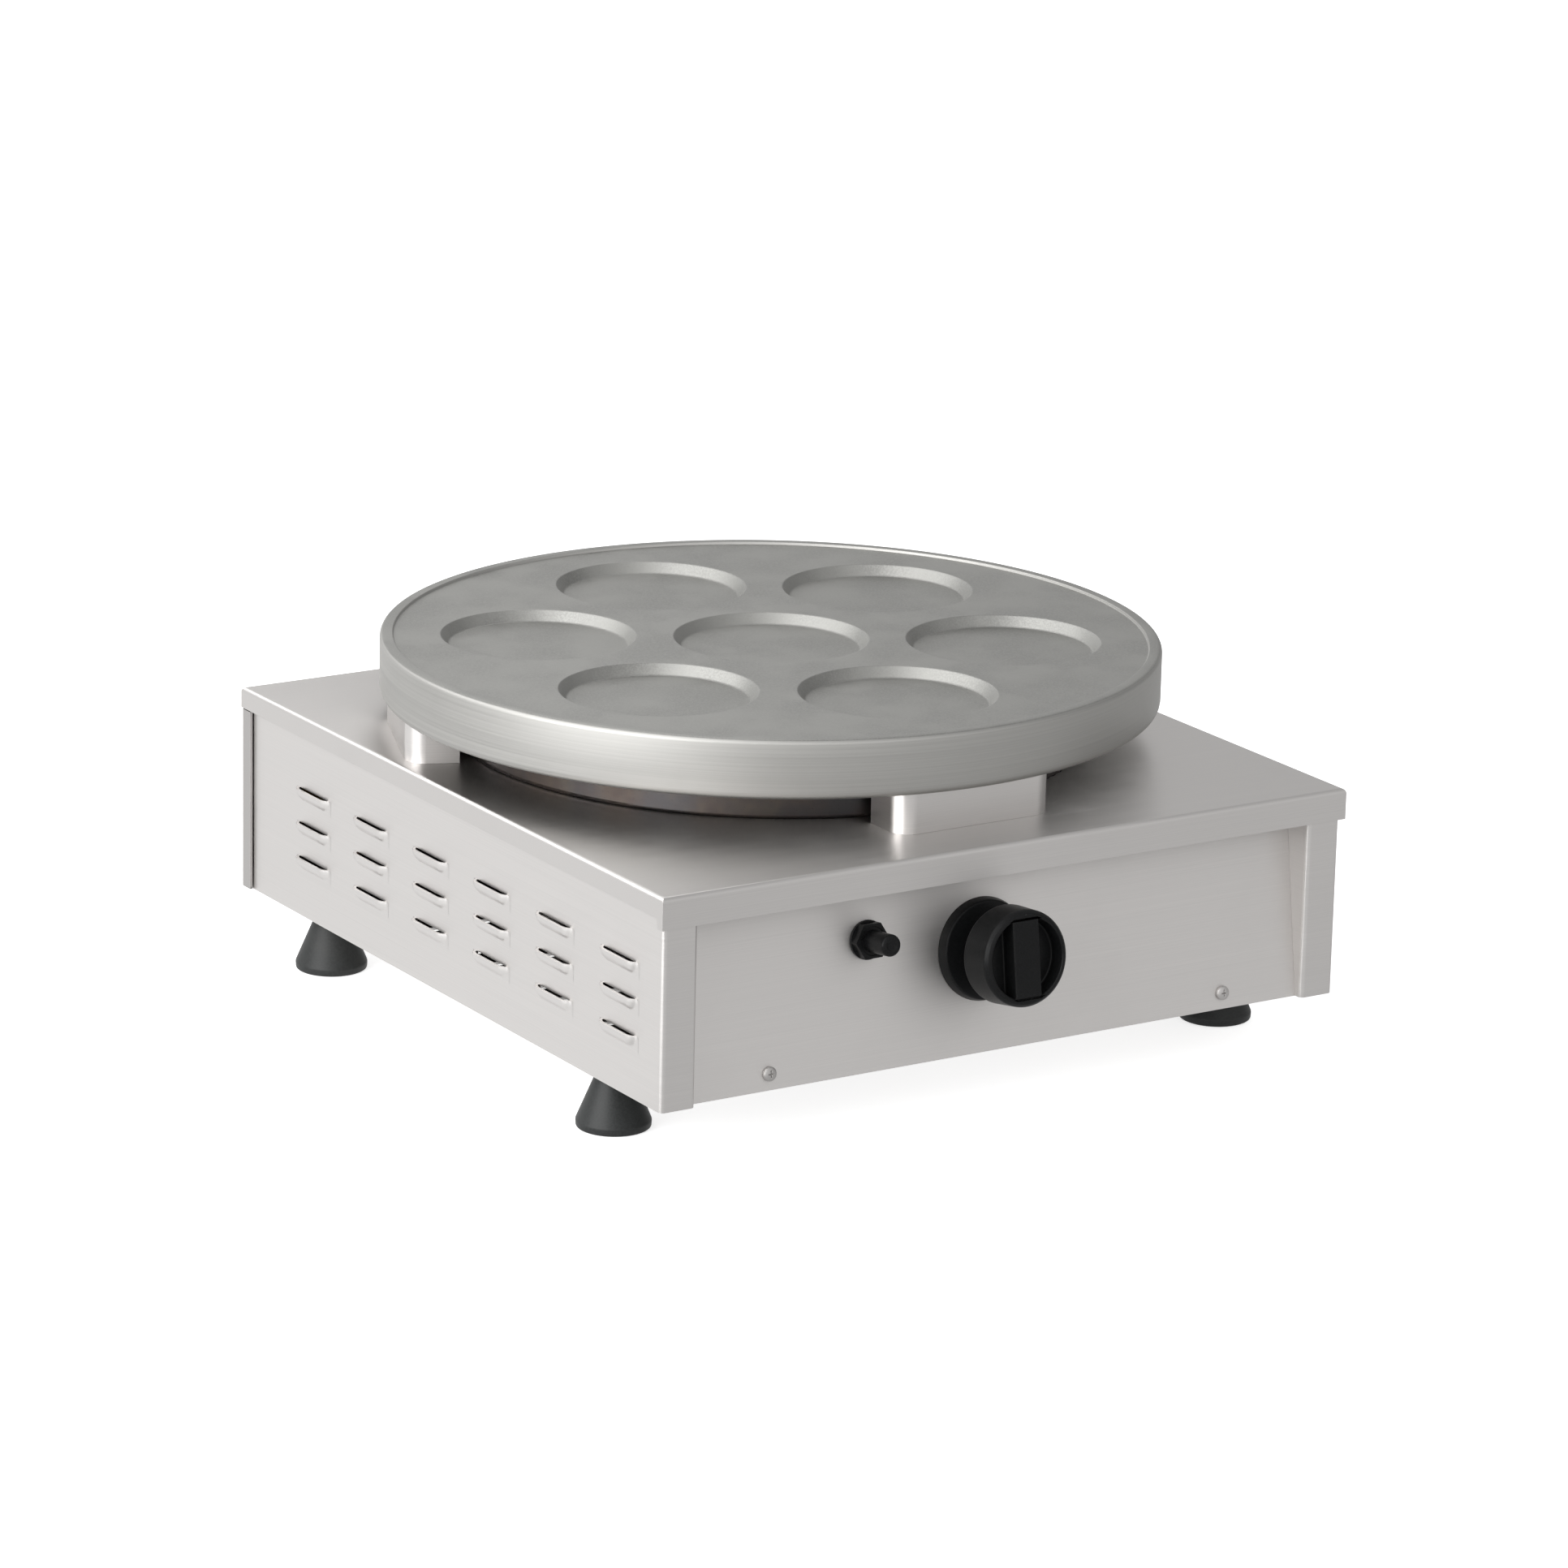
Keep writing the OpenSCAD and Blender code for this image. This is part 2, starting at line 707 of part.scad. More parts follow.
module side_panel() {
  difference() {
    union() {
      translate([0, 0, case_z]) linear_extrude(height = sheet_z - case_z) side_plan();
      strip_return();
      slab(wall_x - fold_w, top_fold_y, sheet_z - sheet_t, wall_x - sheet_t / 2, back_y - sheet_t / 2, sheet_z);
      slab(wall_x - bottom_fold_w, fold_y, case_z, wall_x - sheet_t / 2, back_y - sheet_t / 2, case_z + sheet_t);
      louvre_places() difference() {
        louvre_form(louvre_r);
        slab(-far, -far, -far, -sheet_t / 2, far, far);
      }
    }
    louvre_places() louvre_form(louvre_r - sheet_t);
    foot_places() translate([0, 0, case_z]) screw_hole(foot_screw_d, fold_w);
    back_screw_places() screw_hole(panel_screw_d, fold_w);
    top_bend_waste();
    nut_room();
  }
}

// Waste along the bent top edges of a side panel, which sit inside the cover's own bend
module top_bend_waste() {
  translate([0, 0, sheet_z]) {
    rotate([90, 0, 0]) linear_extrude(height = far, center = true)
      translate([wall_x, 0]) rotate(180) corner_waste(bend_r);
    rotate([90, 0, 90]) linear_extrude(height = far, center = true)
      translate([strip_y, 0]) mirror([0, 1]) corner_waste(bend_r);
  }
}

// Room for the support screws' nuts, cut into any fold that reaches them
module nut_room() {
  low = sheet_z - screw_d * nut_h_ratio - thread_out - edge_gap;
  for (a = support_angles) round_plate(a) support_screw_places() translate([0, 0, low])
    cylinder(r = screw_d * nut_ratio / sqrt(3) + edge_gap, h = far);
}

module left_side_panel() {
  color(steel) in_frame() mirror([1, 0, 0]) side_panel();
}

module right_side_panel() {
  color(steel) in_frame() side_panel();
}

// Screws at the back, with their Z out of the back panel
module back_screw_places() {
  for (s = [-1, 1])
    for (z = [case_z + fold_w, top_z - side_lip_h - fold_w])
      translate([s * (wall_x - fold_w / 2 - sheet_t), case_d / 2, z]) rotate([-90, 0, 0]) children();
}

module panel_screw_places() {
  for (s = [-1, 1]) on_panel(s * panel_screw_x, panel_screw_u) children();
}

module foot_places() {
  for (s = [-1, 1])
    for (y = foot_ys)
      translate([s * foot_x, y, 0]) children();
}

module front_panel() {
  color(steel) in_frame() difference() {
    union() {
      intersection() {
        on_panel(0, 0) slab(-inner_x, -far, -sheet_t, inner_x, far, 0);
        slab(-far, -far, case_z, far, far, sheet_z);
      }
      slab(-inner_x + fold_w, panel_top_y, sheet_z - sheet_t, inner_x - fold_w, panel_top_y + fold_w, sheet_z);
    }
    on_panel(knob_x, knob_u) screw_hole(valve_neck_d, fold_w);
    on_panel(igniter_x, igniter_u) screw_hole(igniter_neck_d, fold_w);
    panel_screw_places() screw_hole(panel_screw_d, fold_w);
    nut_room();
  }
}

module back_plan() {
  difference() {
    union() {
      span(-case_w / 2, back_y, case_w / 2, case_d / 2);
      for (s = [-1, 1])
        translate([s * (case_w / 2 - sheet_t / 2), case_d / 2 - back_lip_w / 2])
          square([sheet_t, back_lip_w], center = true);
    }
    translate([case_w / 2, case_d / 2]) rotate(180) corner_waste(bend_r);
    translate([-case_w / 2, case_d / 2]) mirror([0, 1]) corner_waste(bend_r);
  }
}

module back_panel() {
  color(steel) in_frame() difference() {
    union() {
      translate([0, 0, case_z]) linear_extrude(height = case_h - side_lip_h - lap_gap) back_plan();
      slab(-wall_x + bottom_fold_w + cut, back_y - fold_w, case_z,
        wall_x - bottom_fold_w - cut, case_d / 2 - sheet_t / 2, case_z + sheet_t);
    }
    translate([inlet_x, 0, inlet_z]) rotate([-90, 0, 0]) screw_hole(inlet_d);
    back_screw_places() screw_hole(panel_screw_d, fold_w);
  }
}

module air_slot() {
  linear_extrude(height = far, center = true) {
    square([slot_l - slot_w, slot_w], center = true);
    for (s = [-1, 1]) translate([s * (slot_l - slot_w) / 2, 0]) circle(d = slot_w);
  }
}

module base_plate() {
  color(steel) in_frame() difference() {
    union() {
      difference() {
        slab(-inner_x, panel_y - cut, case_z + sheet_t, inner_x, back_y - sheet_t - edge_gap, base_z);
        on_panel(0, 0) slab(-far, -far, -sheet_t, far, far, far);
      }
      intersection() {
        on_panel(0, 0) slab(-inner_x + fold_w, -far, -2 * sheet_t, inner_x - fold_w, upstand_h, -sheet_t);
        slab(-far, -far, case_z + sheet_t, far, far, far);
      }
    }
    for (s = [-1, 1])
      for (i = [0:slot_count - 1])
        translate([s * (case_w / 2 - slot_inset), (i - (slot_count - 1) / 2) * slot_pitch, 0]) air_slot();
    foot_places() screw_hole(foot_screw_d);
    panel_screw_places() screw_hole(panel_screw_d, fold_w);
    leg_screw_places() screw_hole(screw_d);
  }
}

// Half section of the cooking plate, standing on y = 0
module plate_section() {
  difference() {
    span(0, 0, plate_r, plate_h);
    polygon([
      [-cut, plate_h - plate_lip_h],
      [plate_r - plate_lip_w, plate_h - plate_lip_h],
      [plate_r - plate_lip_w + plate_lip_h, plate_h],
      [plate_r - plate_lip_w + plate_lip_h, plate_h + cut],
      [-cut, plate_h + cut]
    ]);
    span(-cut, -cut, plate_r - plate_ring_w, plate_hollow_h);
    translate([plate_r, plate_h]) rotate(180) corner_waste(plate_top_r);
    translate([plate_r, 0]) mirror([1, 0]) corner_waste(plate_low_r);
  }
}

module cooking_plate() {
  color(casting) in_frame() difference() {
    round_plate(0) translate([0, 0, plate_z]) rotate_extrude() plate_section();
    round_plate(0) at_each(pit_places) translate([0, 0, face_z - pit_h])
      cylinder(d1 = pit_d - 2 * pit_run, d2 = pit_d + 2 * pit_run * cut / pit_h, h = pit_h + cut);
    for (a = support_angles) round_plate(a) translate([support_mid_r, 0, plate_z - cut])
      cylinder(d = stud_d + 2 * push_fit, h = stud_deep + 2 * cut);
  }
}

// A support's plan from an inner radius outwards, drawn in by a distance from its outer faces
module support_plan(inner_r, inset) {
  x = support_r - inset;
  y = support_l / 2 - inset;
  difference() {
    span(inner_r, -y, x, y);
    translate([x, -y]) mirror([1, 0]) corner_waste(support_bend_r - inset);
    translate([x, y]) rotate(180) corner_waste(support_bend_r - inset);
  }
}

// A support under the plate's rim: a folded box, open towards the burner
module plate_support(angle) {
  color(steel) in_frame() round_plate(angle) difference() {
    translate([0, 0, top_z]) linear_extrude(height = plate_gap)
      support_plan(support_r - support_deep, 0);
    translate([0, 0, top_z + support_t]) linear_extrude(height = plate_gap - 2 * support_t)
      support_plan(support_r - support_deep - cut, support_t);
    translate([support_mid_r, 0, plate_z - support_t - cut])
      cylinder(d = stud_d + 2 * screw_fit, h = support_t + 2 * cut);
    translate([0, 0, top_z - cut]) support_screw_places()
      cylinder(d = screw_d + 2 * screw_fit, h = support_t + 2 * cut);
  }
}

module front_plate_support() {
  plate_support(support_angles[0]);
}

module left_plate_support() {
  plate_support(support_angles[1]);
}

module right_plate_support() {
  plate_support(support_angles[2]);
}

module plate_studs() {
  low = plate_z - support_t - stud_d * nut_h_ratio - thread_out;
  color(zinc) in_frame() for (a = support_angles) round_plate(a)
    translate([support_mid_r, 0, low]) cylinder(d = stud_d, h = plate_z + stud_deep - low);
}

module plate_nuts() {
  color(zinc) in_frame() for (a = support_angles) round_plate(a)
    translate([support_mid_r, 0, plate_z - support_t]) mirror([0, 0, 1]) nut(stud_d);
}

module support_screws() {
  l = support_t + sheet_t + screw_d * nut_h_ratio + thread_out;
  color(zinc) in_frame() for (a = support_angles) round_plate(a) support_screw_places()
    translate([0, 0, top_z + support_t]) screw(screw_d, l);
}

module support_nuts() {
  color(zinc) in_frame() for (a = support_angles) round_plate(a) support_screw_places()
    translate([0, 0, sheet_z]) mirror([0, 0, 1]) nut(screw_d);
}

module flame_guard() {
  color(steel) in_frame() difference() {
    round_plate(0) translate([0, 0, top_z]) rotate_extrude() difference() {
      union() {
        span(guard_r - sheet_t, 0, guard_r, guard_h);
        span(guard_foot_r - sheet_t / 2, 0, guard_r, sheet_t);
      }
      translate([guard_r, 0]) mirror([1, 0]) corner_waste(bend_r);
    }
    rivet_places() screw_hole(rivet_d);
  }
}

module guard_rivets() {
  head_z = top_z + sheet_t;
  color(zinc) in_frame() rivet_places() {
    translate([0, 0, head_z]) cylinder(d1 = rivet_d * head_ratio, d2 = rivet_d, h = rivet_d / 3);
    translate([0, 0, sheet_z - rivet_d / 3]) cylinder(d = rivet_d, h = head_z - sheet_z + rivet_d / 2);
    translate([0, 0, sheet_z]) mirror([0, 0, 1]) cylinder(d = rivet_d * head_ratio, h = rivet_d / 3);
  }
}

// Children lie along the mixer tube's axis, with their Z away from the burner
module on_mixer(r) {
  translate(mixer_point(r)) rotate([0, 90, mixer_angle]) children();
}

module burner_ring() {
  socket_d = mixer_d + 2 * push_fit + 2 * burner_wall;
  color(casting) in_frame() difference() {
    union() {
      round_plate(0) translate([0, 0, burner_z]) rotate_extrude() translate([burner_r, 0]) circle(r = tube_r);
      on_mixer(burner_r) cylinder(d = socket_d, h = mixer_socket_l);
    }
    round_plate(0) translate([0, 0, burner_z]) rotate_extrude()
      translate([burner_r, 0]) circle(r = tube_r - burner_wall);
    on_mixer(burner_r) cylinder(d = mixer_d + 2 * push_fit, h = mixer_socket_l + cut);
    for (i = [0:port_count - 1]) round_plate((i + 1 / 2) * 360 / port_count)
      translate([burner_r, 0, burner_z]) rotate([0, port_lean, 0]) cylinder(d = port_d, h = burner_tube_d);
  }
}

module mixer_tube() {
  bore = mixer_d - 2 * burner_wall;
  color(casting) in_frame() difference() {
    on_mixer(mixer_start) cylinder(d = mixer_d, h = mixer_l);
    on_mixer(mixer_start - cut) cylinder(d = bore, h = mixer_l - mixer_end_t + cut);
    on_mixer(mixer_start) cylinder(d = injector_d + 2 * push_fit, h = mixer_l + cut);
    for (a = [0, 90]) on_mixer(mixer_end - mixer_end_t - window_l - burner_wall) rotate(a)
      translate([-far / 2, -window_w / 2, 0]) cube([far, window_w, window_l]);
  }
}

module burner_legs() {
  color(steel) in_frame() for (a = leg_angles) difference() {
    round_plate(a) {
      slab(burner_r - leg_half, -leg_t / 2, base_z, burner_r + leg_half, leg_t / 2, burner_z);
      slab(burner_r - leg_half, -leg_t / 2, base_z, burner_r + leg_half, leg_foot_l, base_z + leg_t);
    }
    round_plate(0) translate([0, 0, burner_z]) rotate_extrude()
      translate([burner_r, 0]) circle(r = tube_r + push_fit);
    leg_screw_places() screw_hole(screw_d);
  }
}

module leg_screw_places() {
  for (a = leg_angles)
    for (s = [-1, 1])
      round_plate(a) translate([burner_r + s * tube_r, leg_foot_l / 2, 0]) children();
}

module leg_screws() {
  l = leg_t + sheet_t + thread_out;
  color(zinc) in_frame() leg_screw_places() translate([0, 0, base_z + leg_t]) screw(screw_d, l);
}

module injector() {
  color(brass) in_frame() difference() {
    union() {
      on_mixer(mixer_end) hex_bar(injector_af, injector_h);
      on_mixer(mixer_end - 2 * mixer_end_t) cylinder(d = injector_d, h = 2 * mixer_end_t + cut);
    }
    on_mixer(mixer_end - 3 * mixer_end_t) cylinder(d = jet_d, h = far);
    on_mixer(mixer_end) cylinder(d = injector_d / 2, h = far);
  }
}

module feed_pipe() {
  color(copper) in_frame() bent_pipe(feed_route, pipe_d, pipe_bend);
}

module gas_valve() {
  color(brass) in_frame() on_panel(knob_x, knob_u) difference() {
    union() {
      translate([0, 0, -valve_back]) cylinder(d = valve_d, h = valve_l);
      translate([0, 0, -neck_back - cut]) cylinder(d = valve_neck_d, h = neck_back + cut + valve_neck_l);
      translate([-boss_reach, 0, -boss_back]) rotate([0, 90, 0]) cylinder(d = boss_d, h = 2 * boss_reach);
    }
    translate([0, 0, -stem_bore]) cylinder(d = stem_d + 2 * run_fit, h = far);
    translate([0, 0, -far]) cylinder(d = rod_d + 2 * run_fit, h = far);
  }
}

module valve_lock_nut() {
  color(zinc) in_frame() on_panel(knob_x, knob_u) difference() {
    hex_bar(valve_nut_af, valve_nut_h);
    translate([0, 0, -cut]) cylinder(d = valve_neck_d + 2 * push_fit, h = valve_nut_h + 2 * cut);
  }
}

// The round stem with the flat that carries the knob
module stem_form(gap) {
  difference() {
    translate([0, 0, -stem_back]) cylinder(d = stem_d + 2 * gap, h = stem_back + stem_reach);
    translate([-stem_d, stem_flat + gap, knob_back]) cube([2 * stem_d, stem_d, stem_reach]);
  }
}

module valve_stem() {
  color(zinc) in_frame() on_panel(knob_x, knob_u) stem_form(0);
}

module valve_push_rod() {
  color(brass) in_frame() on_panel(knob_x, knob_u)
    translate([0, 0, -stem_back - rod_l]) cylinder(d = rod_d, h = rod_l);
}

module safety_magnet() {
  color(zinc) in_frame() on_panel(knob_x, knob_u) translate([0, 0, -magnet_end]) difference() {
    cylinder(d = magnet_d, h = magnet_l);
    translate([0, 0, magnet_l - knob_travel]) cylinder(d = rod_d + 2 * push_fit, h = far);
  }
}

module flame_probe() {
  color(copper) in_frame() {
    bent_pipe(probe_route, lead_d, lead_bend);
    translate([probe_x, probe_y, probe_top - probe_l]) cylinder(d = probe_d, h = probe_l - probe_d / 2);
    translate([probe_x, probe_y, probe_top - probe_d / 2]) sphere(d = probe_d);
  }
}

module inlet_pipe() {
  color(copper) in_frame() bent_pipe(inlet_route, pipe_d, pipe_bend);
}

// Children lie along the gas inlet's axis, with their Z out of the back panel
module on_inlet(y) {
  translate([inlet_x, y, inlet_z]) rotate([-90, 0, 0]) children();
}

module gas_inlet() {
  color(brass) in_frame() difference() {
    union() {
      on_inlet(inlet_inner_y) cylinder(d = inlet_d, h = inlet_tip_y - inlet_inner_y);
      on_inlet(case_d / 2) hex_bar(inlet_af, inlet_collar_h);
    }
    on_inlet(inlet_inner_y + inlet_socket_l) cylinder(d = inlet_bore_d, h = far);
    on_inlet(inlet_inner_y - cut) cylinder(d = pipe_d + 2 * push_fit, h = inlet_socket_l + 2 * cut);
  }
}

module inlet_lock_nut() {
  color(brass) in_frame() on_inlet(back_y - inlet_collar_h) difference() {
    hex_bar(inlet_af + inlet_collar_h / 2, inlet_collar_h);
    translate([0, 0, -cut]) cylinder(d = inlet_d + 2 * push_fit, h = inlet_collar_h + 2 * cut);
  }
}

// Hollow on one side of the knob's grip bar
module grip_hollow() {
  intersection() {
    translate([0, 0, knob_reach - grip_deep]) cylinder(d = knob_front_d - 2 * grip_rim, h = far);
    slab(grip_w / 2, -far, 0, far, far, far);
  }
}

module knob() {
  edge = (knob_d - knob_front_d) / 2;
  color(black) in_frame() on_panel(knob_x, knob_u) difference() {
    union() {
      translate([0, 0, knob_back]) cylinder(d = knob_neck_d, h = knob_neck_l + cut);
      rotate_extrude() polygon([
        [0, knob_disc],
        [knob_d / 2 - edge, knob_disc],
        [knob_d / 2, knob_disc + edge],
        [knob_front_d / 2, knob_reach - edge],
        [knob_front_d / 2 - edge, knob_reach],
        [0, knob_reach]
      ]);
    }
    grip_hollow();
    mirror([1, 0, 0]) grip_hollow();
    translate([-pointer_w / 2, knob_front_d / 2 - edge - pointer_l, knob_reach - pointer_deep])
      cube([pointer_w, pointer_l - edge, cut]);
    intersection() {
      stem_form(run_fit);
      slab(-far, -far, 0, far, far, far);
    }
    translate([0, 0, stem_reach - cut]) cylinder(d = 2 * stem_flat, h = knob_bore_end - stem_reach + cut);
  }
}

module knob_bezel() {
  color(black) in_frame() on_panel(knob_x, knob_u) difference() {
    cylinder(d1 = bezel_d, d2 = bezel_d - bezel_h / 2, h = bezel_h);
    translate([0, 0, -cut]) cylinder(d = valve_nut_af / cos(180 / hex_sides) + 2 * edge_gap,
      h = bezel_h - bezel_face_t + cut);
    cylinder(d = stem_d + 4 * edge_gap, h = far);
  }
}

module igniter_body() {
  flange_d = igniter_neck_d + 4 * sheet_t;
  color(black) in_frame() on_panel(igniter_x, igniter_u) difference() {
    union() {
      translate([0, 0, -igniter_back]) cylinder(d = igniter_d, h = igniter_l);
      translate([0, 0, -neck_back - 2 * sheet_t]) cylinder(d = flange_d, h = 2 * sheet_t);
      translate([0, 0, -neck_back - cut]) cylinder(d = igniter_neck_d, h = neck_back + cut + igniter_neck_l);
    }
    translate([0, 0, -button_bore]) cylinder(d = button_d + 2 * run_fit, h = far);
  }
}

module igniter_collar() {
  color(black) in_frame() on_panel(igniter_x, igniter_u) difference() {
    union() {
      hex_bar(collar_af, collar_h);
      cylinder(d = collar_af / cos(180 / hex_sides), h = sheet_t);
    }
    translate([0, 0, -cut]) cylinder(d = igniter_neck_d + 2 * push_fit, h = far);
  }
}

module igniter_button() {
  color(black) in_frame() on_panel(igniter_x, igniter_u) rotate_extrude() difference() {
    span(0, -button_back, button_d / 2, button_reach);
    translate([button_d / 2, button_reach]) rotate(180) corner_waste(button_r);
  }
}

module spark_lead() {
  color(black) in_frame() bent_pipe(spark_route, spark_lead_d, lead_bend);
}

module spark_electrode() {
  color(ceramic) in_frame() translate([spark_x, spark_y, ceramic_z]) {
    cylinder(d = ceramic_d, h = ceramic_l);
    translate([0, 0, -wire_l]) cylinder(d = wire_d, h = ceramic_l + 2 * wire_l);
  }
}

// Sheet beside the burner that holds the probe and the electrode
module probe_holder() {
  color(steel) in_frame() difference() {
    round_plate(leg_angle) {
      slab(holder_r, -holder_l / 2, holder_z, holder_r + holder_w, holder_l / 2, holder_z + sheet_t);
      slab(holder_r, leg_t / 2, holder_z - holder_tab_h, burner_r + leg_half, leg_t / 2 + sheet_t, holder_z + cut);
    }
    translate([probe_x, probe_y, 0]) cylinder(d = probe_d + 2 * push_fit, h = far);
    translate([spark_x, spark_y, 0]) cylinder(d = ceramic_d + 2 * push_fit, h = far);
    round_plate(leg_angle) slab(0, -leg_t / 2, 0, burner_r + leg_half + edge_gap, leg_t / 2, burner_z);
  }
}

// Section of a rubber foot, standing on y = 0
module foot_section() {
  polygon([
    [foot_screw_d / 2 + screw_fit, foot_hollow_h],
    [foot_hollow_d / 2, foot_hollow_h],
    [foot_hollow_d / 2, 0],
    [foot_d / 2 - foot_edge_h / 4, 0],
    [foot_d / 2, foot_edge_h / 4],
    [foot_d / 2, foot_edge_h],
    [foot_top_d / 2, foot_h - foot_neck_h],
    [foot_top_d / 2, foot_h],
    [foot_screw_d / 2 + screw_fit, foot_h]
  ]);
}

module foot(side, y) {
  color(black) in_frame() translate([side * foot_x, y, 0]) rotate_extrude() foot_section();
}

module front_left_foot() {
  foot(-1, foot_ys[0]);
}

module front_right_foot() {
  foot(1, foot_ys[0]);
}

module back_left_foot() {
  foot(-1, foot_ys[1]);
}

module back_right_foot() {
  foot(1, foot_ys[1]);
}

module foot_screws() {
  l = base_z - foot_hollow_h + foot_screw_d * nut_h_ratio + thread_out;
  color(zinc) in_frame() foot_places() translate([0, 0, foot_hollow_h]) mirror([0, 0, 1]) screw(foot_screw_d, l);
}

module foot_nuts() {
  color(zinc) in_frame() foot_places() translate([0, 0, base_z]) nut(foot_screw_d);
}

module panel_screws() {
  color(zinc) in_frame() panel_screw_places() screw(panel_screw_d, 2 * sheet_t + thread_out);
}

module back_screws() {
  color(zinc) in_frame() back_screw_places() screw(panel_screw_d, 2 * sheet_t + thread_out);
}

top_cover();
left_side_panel();
right_side_panel();
front_panel();
back_panel();
base_plate();
cooking_plate();
front_plate_support();
left_plate_support();
right_plate_support();
plate_studs();
plate_nuts();
support_screws();
support_nuts();
flame_guard();
guard_rivets();
burner_ring();
mixer_tube();
burner_legs();
leg_screws();
injector();
feed_pipe();
gas_valve();
valve_lock_nut();
valve_stem();
valve_push_rod();
safety_magnet();
flame_probe();
inlet_pipe();
gas_inlet();
inlet_lock_nut();
knob();
knob_bezel();
igniter_body();
igniter_collar();
igniter_button();
spark_lead();
spark_electrode();
probe_holder();
front_left_foot();
front_right_foot();
back_left_foot();
back_right_foot();
foot_screws();
foot_nuts();
panel_screws();
back_screws();
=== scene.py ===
"""Dresses the gas pancake machine: sheets, cast plate, knob, fittings, finishes, floor, light and camera.

Everything is in metres in the machine's own frame: X to the right, Y to the back, Z up from the table.
"""

import functools
import json
import math

import bmesh
import bpy
from mathutils import Matrix, Vector


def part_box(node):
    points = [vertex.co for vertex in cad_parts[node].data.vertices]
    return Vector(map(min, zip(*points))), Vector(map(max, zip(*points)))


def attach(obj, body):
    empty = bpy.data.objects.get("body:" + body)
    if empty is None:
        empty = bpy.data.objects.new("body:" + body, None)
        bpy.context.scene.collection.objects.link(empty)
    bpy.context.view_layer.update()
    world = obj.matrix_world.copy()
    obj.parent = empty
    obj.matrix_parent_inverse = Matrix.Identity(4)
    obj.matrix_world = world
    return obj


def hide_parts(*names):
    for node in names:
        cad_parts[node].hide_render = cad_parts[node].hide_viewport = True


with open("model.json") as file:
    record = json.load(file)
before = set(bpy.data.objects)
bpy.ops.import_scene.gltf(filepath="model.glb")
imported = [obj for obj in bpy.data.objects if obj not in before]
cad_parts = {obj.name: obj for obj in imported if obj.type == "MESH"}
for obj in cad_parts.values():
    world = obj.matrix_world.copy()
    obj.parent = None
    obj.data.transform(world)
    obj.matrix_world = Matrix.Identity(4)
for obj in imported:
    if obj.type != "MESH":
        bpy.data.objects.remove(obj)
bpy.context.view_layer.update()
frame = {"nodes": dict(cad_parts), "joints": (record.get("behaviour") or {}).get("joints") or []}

bl_info = {
    "name": "Gas pancake machine",
    "version": (1, 0, 0),
    "blender": (4, 5, 0),
    "location": "3D View > Sidebar > Pancake machine",
    "description": "Dresses the pancake machine and sets up its studio",
    "category": "Object",
}

MM = 0.001
LONGEST = 500 * MM
PLATE_LOW, PLATE_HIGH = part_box("cooking_plate")
PLATE_MIDDLE = (PLATE_LOW + PLATE_HIGH) / 2
COVER_LOW, COVER_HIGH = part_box("top_cover")
INLET_LOW, INLET_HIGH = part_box("gas_inlet")


# Settings


def length(name, description, millimetres):
    """A length, given in millimetres and kept in metres."""
    return bpy.props.FloatProperty(
        name=name,
        description=description,
        default=millimetres * MM,
        min=0.0,
        max=LONGEST,
        subtype="DISTANCE",
        unit="LENGTH",
        precision=5,
    )


def share(name, description, default):
    return bpy.props.FloatProperty(
        name=name, description=description, default=default, min=0.0, max=1.0, subtype="FACTOR"
    )


def colour(name, description, default):
    return bpy.props.FloatVectorProperty(
        name=name, description=description, default=default, min=0.0, max=1.0, size=3, subtype="COLOR"
    )


class PlateSizes(bpy.types.PropertyGroup):
    lip_width: length("Lip width", "Width of the raised lip round the plate", 7)
    lip_height: length("Lip height", "Height of the lip over the plate's face", 1.5)
    top_round: length("Top round", "Rounding of the plate's upper edge", 2.5)
    low_round: length("Low round", "Rounding of the plate's lower edge", 4)
    ring_width: length("Ring width", "Width of the thick ring under the plate's rim", 50)
    hollow_height: length("Hollow height", "Height of the hollow over the burner", 15)
    pit_width: length("Pit width", "Diameter of a pit at the plate's face", 100)
    pit_depth: length("Pit depth", "Depth of a pit", 5.5)
    pit_run: length("Pit run", "Run of a pit's sloping wall", 4)
    pit_circle: length("Pit circle", "Radius of the circle that the outer pits stand on", 119)
    pit_edge: length("Pit edge", "Rounding of a pit's upper edge", 0.9)
    pit_foot: length("Pit foot", "Rounding at a pit's floor", 1.6)


class LouvreSizes(bpy.types.PropertyGroup):
    run: length("Run", "Straight length of a louvre", 21)
    radius: length("Radius", "Radius of a louvre's round back", 7)
    reach: length("Reach", "How far a louvre stands out of the side", 3.5)
    blend: length("Blend", "Softness of the sheet where a louvre rises from it", 1.2)
    pitch_along: length("Pitch along", "Spacing of the louvres along the side", 61.6)
    pitch_up: length("Pitch up", "Spacing of the louvre rows", 18.5)
    middle_ahead: length("Middle ahead", "How far the louvres' middle lies ahead of the case's middle", 17)
    low_row: length("Low row", "Height of the lowest row's mouths over the case's bottom edge", 32)
    columns: bpy.props.IntProperty(name="Columns", description="Louvres in a row", default=6, min=1, max=12)
    rows: bpy.props.IntProperty(name="Rows", description="Rows of louvres", default=3, min=1, max=6)


